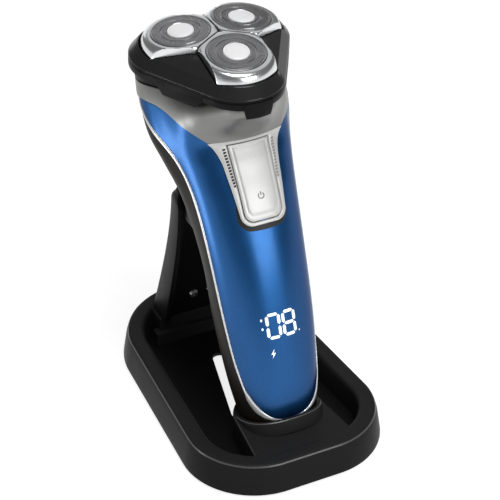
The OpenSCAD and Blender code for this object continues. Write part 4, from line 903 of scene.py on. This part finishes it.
# Radius, height and distance from the flats of the petal's profile
RING_PROFILE = [(11.55, -1.1, 0.5), (11.55, 0.0, 0), (11.65, 0.1, 0), (12.3, 0.12, 0.1), (13.1, 0.06, 0.05),
                (13.7, -0.16, 0), (14.2, -0.5, 0), (14.65, -1.05, 0), (15.05, -1.85, 0), (15.4, -2.7, 0),
                (15.65, -3.5, 0), (15.85, -4.3, 0), (15.97, -4.9, 0), (15.92, -5.0, 0.1), (15.1, -5.0, 0.6),
                (14.5, -3.0, 0.6), (13.8, -1.7, 0.6), (13.2, -1.1, 0.6)]


def cell_ring(cell):
    """Chrome petal: a skirted ring cut by the lines to its neighbours and by its side flats."""
    a = around(240)
    normals = [polar(1, CELL_ANGLE[cell] + away, 0) for away in (150, -150)]
    rows = []
    for r, z, inset in RING_PROFILE:
        radius = np.minimum(r, side_limit(a, RING_HALF - inset))
        axis = cell_to_head(np.array([0.0, 0.0, z]), cell)
        reach = cell_to_head(polar(1, a, z), cell) - axis
        for normal in normals:
            lean = reach @ normal
            limit = (-RING_GAP / 2 - inset - axis @ normal) / np.maximum(lean, 1e-6)
            radius = np.minimum(radius, np.where(lean > 1e-6, limit, 1e9))
        rows.append(polar(radius, a, z))
    s = Shape()
    s.ring(from_cell(rows, cell))
    name = "cell_ring_" + cell
    dress(s.object(name + "_skirt", 40), "cell_" + cell, "cell_chrome", cell_chrome, name)


def turned(profile, cell, n):
    """Rings of a profile of radius and height, turned round a cell's axis."""
    return from_cell([polar(r, around(n), z) for r, z in profile], cell)


TRACK_FOOT = -0.45


def bars(s, cell, count, r0, r1, top, share, slant):
    """Radial bars of a slotted track, with slots left open between them."""
    half = 180 / count * share
    radii = np.array([r0, r1, r1, r0])
    for k in range(count):
        angles = 360 * k / count + np.array([-half, slant - half, slant + half, half])
        s.loft(from_cell([polar(radii, angles, z) for z in (TRACK_FOOT, top)], cell))


def guard(cell):
    """Rim with a groove, ridge between the tracks, seat of the cap, and the bars of both tracks."""
    g, c, foot = GUARD_R, CAP_R, TRACK_FOOT
    rim = [(g - 0.6, -4.4), (g - 0.6, foot), (g - 1.05, foot), (g - 1.05, 0.42), (g - 0.95, 0.45),
           (g - 0.8, 0.1), (g - 0.5, 0.1), (g - 0.42, 0.42), (g - 0.2, 0.45), (g, 0.34), (g, -1.3),
           (g + 0.8, -1.3), (g + 0.8, -2), (g, -2), (g, -4.4)]
    ridge = [(g - 4.35, foot), (g - 4.35, 0.5), (g - 4.1, 0.52), (g - 3.95, 0.02), (g - 3.6, 0.02),
             (g - 3.45, 0.52), (g - 3.2, 0.5), (g - 3.2, foot)]
    seat = [(0.4, -0.9), (c + 0.3, -0.9), (c + 0.55, foot), (c + 0.75, 0.45), (c + 0.55, 0.5), (c + 0.35, 0.3),
            (c + 0.3, -0.4), (0.4, -0.4)]
    s = Shape()
    for profile in (rim, ridge, seat):
        s.ring(turned(profile, cell, 144))
    bars(s, cell, 72, g - 3.25, g - 1.0, 0.43, 0.62, 2.0)
    bars(s, cell, 44, c + 0.7, g - 4.3, 0.48, 0.6, 2.5)
    dress(s.object("guard_" + cell + "_mesh", 40), "cell_" + cell, "guard_steel", steel, "guard_" + cell)


def guard_cap(cell):
    c = CAP_R
    profile = [(c, -0.4), (c, 0.45), (c - 0.08, 0.62), (c - 0.3, 0.74), (c - 0.55, 0.78), (c - 0.7, 0.7),
               (c - 0.85, 0.7), (c - 1.0, 0.8), (c - 1.6, 0.85), (1.5, 0.89), (0.3, 0.9)]
    s = Shape()
    s.loft(turned(profile, cell, 128))
    name = "guard_cap_" + cell
    dress(s.object(name + "_disc", 40), "cell_" + cell, "cap_bright", cap_metal_painted_bright, name)


head_base()
head_frame()
for cell_name in CELL_ANGLE:
    cell_ring(cell_name)
    guard(cell_name)
    guard_cap(cell_name)

# Stand
FRONT_Y, REAR_Y = -STAND_DEPTH / 2, STAND_DEPTH / 2
REAR_C = np.array([REAR_HALF - REAR_CORNER, REAR_Y - REAR_CORNER])
FRONT_C = np.array([FRONT_HALF - FRONT_CORNER, FRONT_Y + FRONT_CORNER])
SPAN = REAR_C - FRONT_C
SPAN_TURN = math.acos((FRONT_CORNER - REAR_CORNER) / np.linalg.norm(SPAN))
SIDE = math.degrees(math.atan2(SPAN[1], SPAN[0]) - SPAN_TURN)
FLIP = np.array([-1, 1])
# The stand's walls stay this much inside the solid
HAIR = 0.03


def arc(c, r, a0, a1):
    a = np.linspace(a0, a1, 57)
    return np.stack([c[0] + r * cosd(a), c[1] + r * sind(a)], -1)


def plan(inset):
    """Outline of the stand."""
    rear, front = REAR_CORNER - inset - HAIR, FRONT_CORNER - inset - HAIR
    return np.concatenate([arc(REAR_C, rear, SIDE, 90), arc(REAR_C * FLIP, rear, 90, 180 - SIDE),
                           arc(FRONT_C * FLIP, front, 180 - SIDE, 270), arc(FRONT_C, front, 270, 360 + SIDE)])


def at_height(xy, z):
    return np.concatenate([xy, np.full((len(xy), 1), float(z))], 1)


def stacked(outline, rows):
    """Rings of an outline at each row's inset and height."""
    return np.stack([at_height(outline(inset), z) for inset, z in rows])


DECK_END, DECK_TURN = DOCK[1] + GRIP_BACK * 0.68 + CUP_WALL, DOCK[1] - 1
DECK_TOP = RIM_H - 0.02
POST_Y = REAR_Y - 23


def deck_plan(inset):
    """Outline of the front deck, round towards the post and flared towards the front."""
    a = np.linspace(0, 180, 65)
    end = np.stack([cosd(a) * (DECK_HALF - inset), DECK_TURN + sind(a) * (DECK_END - DECK_TURN - inset)], -1)
    front, half = FRONT_Y + RIM_W * 0.84, DECK_HALF + DECK_FLARE - inset
    corners = np.array([[-half, front], [half, front]])
    return np.concatenate([end, np.linspace(end[-1], corners[0], 20)[1:],
                           np.linspace(corners[0], corners[1], 20)[1:],
                           np.linspace(corners[1], end[0], 20)[1:-1]])


CUP_STEPS = 180


def pocket_ring(u, off):
    """Level ring round the handle's foot."""
    p = skin(max(u, 0.0), around(CUP_STEPS), off)
    p[:, 2] = u
    return p


def cup_ring(u, off):
    """Level ring with the outline that the handle has at the cup's lip."""
    p = skin(CUP_H, around(CUP_STEPS), off)
    p[:, 2] = u
    return p


def cup_foot(off, z):
    """The cup's outline, brought down to a height of the stand."""
    p = cup_ring(0.0, off)
    lean = math.radians(LEAN)
    p[:, 2] = (z - DOCK[2] + p[:, 1] * math.sin(lean)) / math.cos(lean)
    return p


CUP_BAND = CUP_WALL + CUP_GAP


def stand_cup(s):
    rows = [(-2.6, CUP_WALL - 0.9), (-2.15, CUP_WALL - 0.85), (-2.0, CUP_BAND - 0.5), (-1.85, CUP_BAND - 0.15),
            (-1.5, CUP_BAND), (CUP_H - 0.9, CUP_BAND), (CUP_H - 0.35, CUP_BAND - 0.12),
            (CUP_H - 0.08, CUP_BAND - 0.4), (CUP_H, CUP_BAND - 0.75), (CUP_H, CUP_GAP + 0.35),
            (CUP_H - 0.15, CUP_GAP + 0.1)]
    cup = [cup_foot(CUP_WALL - 1.2, PLATE_TOP)]
    cup += [cup_ring(u, off) for u, off in rows]
    cup += [pocket_ring(u, CUP_GAP) for u in (3.0, 2.0, 1.0, 0.0, -CUP_GAP)]
    s.loft(from_handle(cup))


def post_foot(s, half, y0, y1, high):
    """Block under the post, with a rounded upper edge."""
    rows = [(0, PLATE_TOP), (0, high - 0.6), (0.08, high - 0.3), (0.25, high - 0.09), (0.5, high)]

    def outline(i):
        return np.array([[i - half, y0 + i], [half - i, y0 + i], [half - i, y1], [i - half, y1]])

    s.loft(stacked(outline, rows))


def stand_base():
    s = Shape()
    rim = [(0, 1), (0, 1.6), (0.35, 4), (1.35, 10.4), (1.63, 11.4), (1.95, 12.6), (2.25, 13.3), (2.7, 13.75),
           (3.3, 13.96), (4.2, 14), (7.0, 14), (7.9, 13.95), (8.5, 13.75), (8.9, 13.4), (9.15, 12.8),
           (9.25, 12.2), (9.6, 2.5), (8.2, 2.5), (7.8, 12), (3.8, 12), (2, 1)]
    s.ring(stacked(plan, rim))
    deck = [(0, 1.0), (0.1, 0.55), (0.35, 0.2), (0.8, 0.03), (1.3, 0)]
    s.loft(stacked(deck_plan, [(2.0, PLATE_TOP), (0, PLATE_TOP)] + [(i, DECK_TOP - drop) for i, drop in deck]))
    stand_cup(s)
    half = FOOT_HALF + 1
    post_foot(s, half, POST_Y, REAR_Y - RIM_W + 1, RIM_H - 0.04)
    post_foot(s, half + FOOT_STEP, POST_Y - FOOT_STEP, POST_Y + 2, FOOT_STEP_Z)
    dress(s.object("stand_base_ring", 40), "stand", "stand_black", stand_gloss, "stand_base")


def stand_edges():
    """Thin lighter lines on the rounded edges of the rim, the deck and the cup's lip: painted edge highlights.
    """
    s = Shape()
    s.ring(stacked(plan, [(2.4, 12.8), (2.07, 12.98), (2.22, 13.33), (2.47, 13.58), (2.6, 13.2)]))
    deck = [(0.5, 0.9), (0.08, 0.53), (0.33, 0.17), (0.7, 0.5)]
    s.ring(stacked(deck_plan, [(inset, DECK_TOP - drop) for inset, drop in deck]))
    cup = [(0.6, 0.4), (0.38, 0.09), (0.19, 0.235), (0.06, 0.38), (0.25, 0.6)]
    s.ring(from_handle([cup_ring(CUP_H - drop, CUP_BAND - inset) for drop, inset in cup]))
    dress(s.object("stand_edge_lines", 40), "stand", "stand_black", painted_edge_highlight)


PAD_SPOT = from_handle(skin(PAD_U, 90.0, PAD_GAP + PAD_T))
POST_TOP = PAD_SPOT[2] + POST_RISE
POST_LEAN = (POST_Y - PAD_SPOT[1]) / (PAD_SPOT[2] - RIM_H)
# Stretch of the handle that the notch in the post's top clears, and by how much
NOTCH_LOW, NOTCH_HIGH, NOTCH_GAP = PAD_U + 2, PAD_U + 26, 0.8


def post_web(z):
    return POST_Y - POST_LEAN * (z - RIM_H)


def post_ring(z):
    """Cross-section of the post at a height: a web between two flanges."""
    share = (z - RIM_H) / (POST_TOP - RIM_H)
    crown = ease(share * 12 - 11) ** 2
    w = post_web(z)
    h = mix(FOOT_HALF, TOP_HALF, share ** 3) - 1.5 * crown
    f = w - RECESS * (1 - 0.8 * ease(share * 8 - 7))
    b = w + mix(FOOT_DEPTH, TOP_DEPTH, share) - RECESS - 1.5 * crown
    right = [(h - FLANGE - 0.3, w), (h - FLANGE, f), (h - 0.7, f), (h - 0.2, f + 0.2), (h, f + 0.7),
             (h, b - 2.4), (h - 0.25, b - 1.5), (h - 0.8, b - 0.7), (h - 1.5, b - 0.22), (h - 2.4, b),
             (h - FLANGE - 1, b), (h - FLANGE - 1.2, w + 2.6)]
    return [(x, y, z) for x, y in right + [(-x, y) for x, y in right[::-1]]]


def stand_post():
    shares = np.concatenate([np.linspace(0, 0.8, 22), np.linspace(0.8, 1, 16)[1:]])
    s = Shape()
    s.loft(np.array([post_ring(z) for z in mix(RIM_H, POST_TOP, shares)]))
    obj = bevel(s.object("stand_post_body"), 0.25, 2, 55)
    u, a = np.meshgrid(np.linspace(NOTCH_LOW, NOTCH_HIGH, 25), around(120), indexing="ij")
    notch = Shape()
    notch.loft(from_handle(skin(u, a, NOTCH_GAP)))
    cut(obj, notch.object("notch_tool"))
    dress(obj, "stand", "stand_black", post_black, "stand_post")


def post_pad():
    u, a = np.meshgrid(np.linspace(PAD_U - PAD_HALF, PAD_U + PAD_HALF, 36),
                       np.linspace(90 - PAD_WRAP, 90 + PAD_WRAP, 60), indexing="ij")
    front = from_handle(skin(u, a, PAD_GAP))
    back = front.copy()
    back[..., 1] = post_web(front[..., 2])
    s = Shape()
    s.slab(back, front)
    dress(bevel(s.object("post_pad_block"), 0.8, 4), "stand", "pad_grey", pad_rubber, "post_pad")


stand_base()
stand_edges()
stand_post()
post_pad()

# Wave springs between the frame's seat and the guards
SPRING_TOP, SPRING_FOOT = -4.4, -RING_DROP - CELL_FLOAT - 0.3
SPRING_W, SPRING_T, SPRING_WAVES = 0.6, 0.4, 5


def wave_spring(cell):
    a = around(120)
    swing = (SPRING_TOP - SPRING_FOOT - 0.5) / 2
    wave = (SPRING_FOOT + SPRING_TOP) / 2 + swing * sind(SPRING_WAVES * a)
    inner, t = GUARD_R - SPRING_W, SPRING_T / 2
    corners = [(GUARD_R, -t), (GUARD_R, t), (inner, t), (inner, -t)]
    s = Shape()
    s.ring(from_cell([polar(r, a, wave + rise) for r, rise in corners], cell))
    obj = s.object("wave_spring_" + cell)
    dress(obj, "head_unit", "spring_steel", spring_steel, "cell_spring_" + cell)
    foot = Vector(from_cell((0, 0, SPRING_FOOT), cell) * MM)
    top = Vector(from_cell((0, 0, SPRING_TOP), cell) * MM)
    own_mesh(obj)


for cell_name in CELL_ANGLE:
    wave_spring(cell_name)

# Finishes of the nodes that keep their CAD shape, and of the springs' nodes
KEPT = [(plate_black, "stand_bottom_plate"),
        (foot_rubber, "stand_feet neck_gasket spindle_seals"),
        (screw_steel, "stand_screws board_screws gear_screws"),
        (post_black, "post_back_cover"),
        (gold, "charge_pins charge_contacts"),
        (board_green, "charge_board main_board"),
        (moulded_black, "power_inlet power_switch motor_end_cap"),
        (dark_shell, "bottom_cap"),
        (nylon, "chassis gear_cover"),
        (display_white, "display_module"),
        (wrap_green, "battery_cell"),
        (spring_steel, "battery_tabs"),
        (alloy, "gear_plate motor_can motor_shaft"),
        (bronze, "motor_bushes drive_pinion"),
        (copper, "motor_armature"),
        (retainer, "retaining_plate")]
for cell_name in CELL_ANGLE:
    KEPT += [(nylon, f"drive_gear_{cell_name} spindle_{cell_name}"), (cutter_steel, "cutter_" + cell_name),
             (spring_steel, "cell_spring_" + cell_name)]
for finish, names in KEPT:
    for node_name in names.split():
        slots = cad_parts[node_name].data.materials
        slots.clear()
        slots.append(finish)

# Camera at the photo's view
AZIMUTH, ELEVATION, DISTANCE = 26.15, 34.62, 750.0
FOCAL_PX, FRAME_PX, SENSOR = 1950.0, 500.0, 36
TARGET = np.array([-3.08, -14.24, 80.0])
az, el = math.radians(AZIMUTH), math.radians(ELEVATION)
forward = Vector((math.sin(az) * math.cos(el), math.cos(az) * math.cos(el), -math.sin(el)))
right = Vector((math.cos(az), -math.sin(az), 0))
up = right.cross(forward)
lens = bpy.data.cameras.new("camera")
lens.sensor_width = SENSOR
lens.sensor_fit = "HORIZONTAL"
lens.lens = SENSOR * FOCAL_PX / FRAME_PX
lens.clip_start = 0.05
camera = bpy.data.objects.new("camera", lens)
camera.matrix_world = Matrix((right, up, -forward)).transposed().to_4x4()
camera.matrix_world.translation = (Vector(TARGET) - forward * DISTANCE) * MM
bpy.context.scene.collection.objects.link(camera)
bpy.context.scene.camera = camera

# Floor: white to the camera and in reflections, and it keeps a soft shadow
FLOOR_HALF, FLOOR_Z = 4000.0, -0.05


def paper():
    m = bpy.data.materials.new("paper")
    m.use_nodes = True
    nodes, links = m.node_tree.nodes, m.node_tree.links
    nodes.clear()

    def math_node(operation, first, second=None):
        node = nodes.new("ShaderNodeMath")
        node.operation = operation
        links.new(first, node.inputs[0])
        if second:
            links.new(second, node.inputs[1])
        return node

    matt = nodes.new("ShaderNodeBsdfDiffuse")
    put(matt, {"Color": (0.35, 0.35, 0.35, 1)})
    shine = nodes.new("ShaderNodeEmission")
    put(shine, {"Color": (1, 1, 1, 1)})
    ray = nodes.new("ShaderNodeLightPath").outputs
    reflected = math_node("MAXIMUM", ray["Is Glossy Ray"], ray["Is Transmission Ray"])
    seen = math_node("MAXIMUM", ray["Is Camera Ray"], reflected.outputs["Value"])
    level = math_node("MULTIPLY", seen.outputs["Value"])
    level.inputs[1].default_value = 0.82
    links.new(level.outputs["Value"], shine.inputs["Strength"])
    both = nodes.new("ShaderNodeAddShader")
    links.new(matt.outputs["BSDF"], both.inputs[0])
    links.new(shine.outputs["Emission"], both.inputs[1])
    out = nodes.new("ShaderNodeOutputMaterial")
    links.new(both.outputs["Shader"], out.inputs["Surface"])
    return m


floor_shape = Shape()
floor_ends = (-FLOOR_HALF, FLOOR_HALF)
floor_shape.grid(np.array([[(x, y, FLOOR_Z) for x in floor_ends] for y in floor_ends]))
floor = floor_shape.object("floor")
floor.data.materials.append(paper())

# World and lamps
world = bpy.data.worlds.new("studio")
bpy.context.scene.world = world
world.use_nodes = True
sky = world.node_tree
sky.nodes.clear()
back = sky.nodes.new("ShaderNodeBackground")
put(back, {"Color": (1, 1, 1, 1), "Strength": 0.17})
sky_out = sky.nodes.new("ShaderNodeOutputWorld")
sky.links.new(back.outputs["Background"], sky_out.inputs["Surface"])


def lamp(name, place, aim, size, power):
    light = bpy.data.lights.new(name, "AREA")
    light.shape = "RECTANGLE"
    light.size, light.size_y = size
    light.energy = power
    obj = bpy.data.objects.new(name, light)
    obj.location = place
    obj.rotation_euler = (Vector(aim) - Vector(place)).to_track_quat("-Z", "Y").to_euler()
    bpy.context.scene.collection.objects.link(obj)


lamp("key", (0.20, -0.94, 0.39), (0, -0.03, 0.10), (0.61, 0.39), 3.4)
lamp("top", (0.0, -0.30, 0.95), (0, 0, 0.1), (0.5, 0.5), 5.0)
lamp("left", (-0.26, 0.033, 0.03), (-0.03, -0.01, 0.128), (0.06, 0.06), 0.09)
lamp("left_fill", (-0.95, -0.20, 0.25), (0, 0, 0.1), (0.6, 0.45), 0.18)
lamp("back_top", (0.38, 0.58, 0.87), (0, 0, 0.15), (0.75, 0.6), 0.65)
lamp("back_fill", (0.15, 0.90, 0.35), (0, 0, 0.08), (0.6, 0.45), 0.8)

bpy.context.scene.view_settings.view_transform = "Standard"
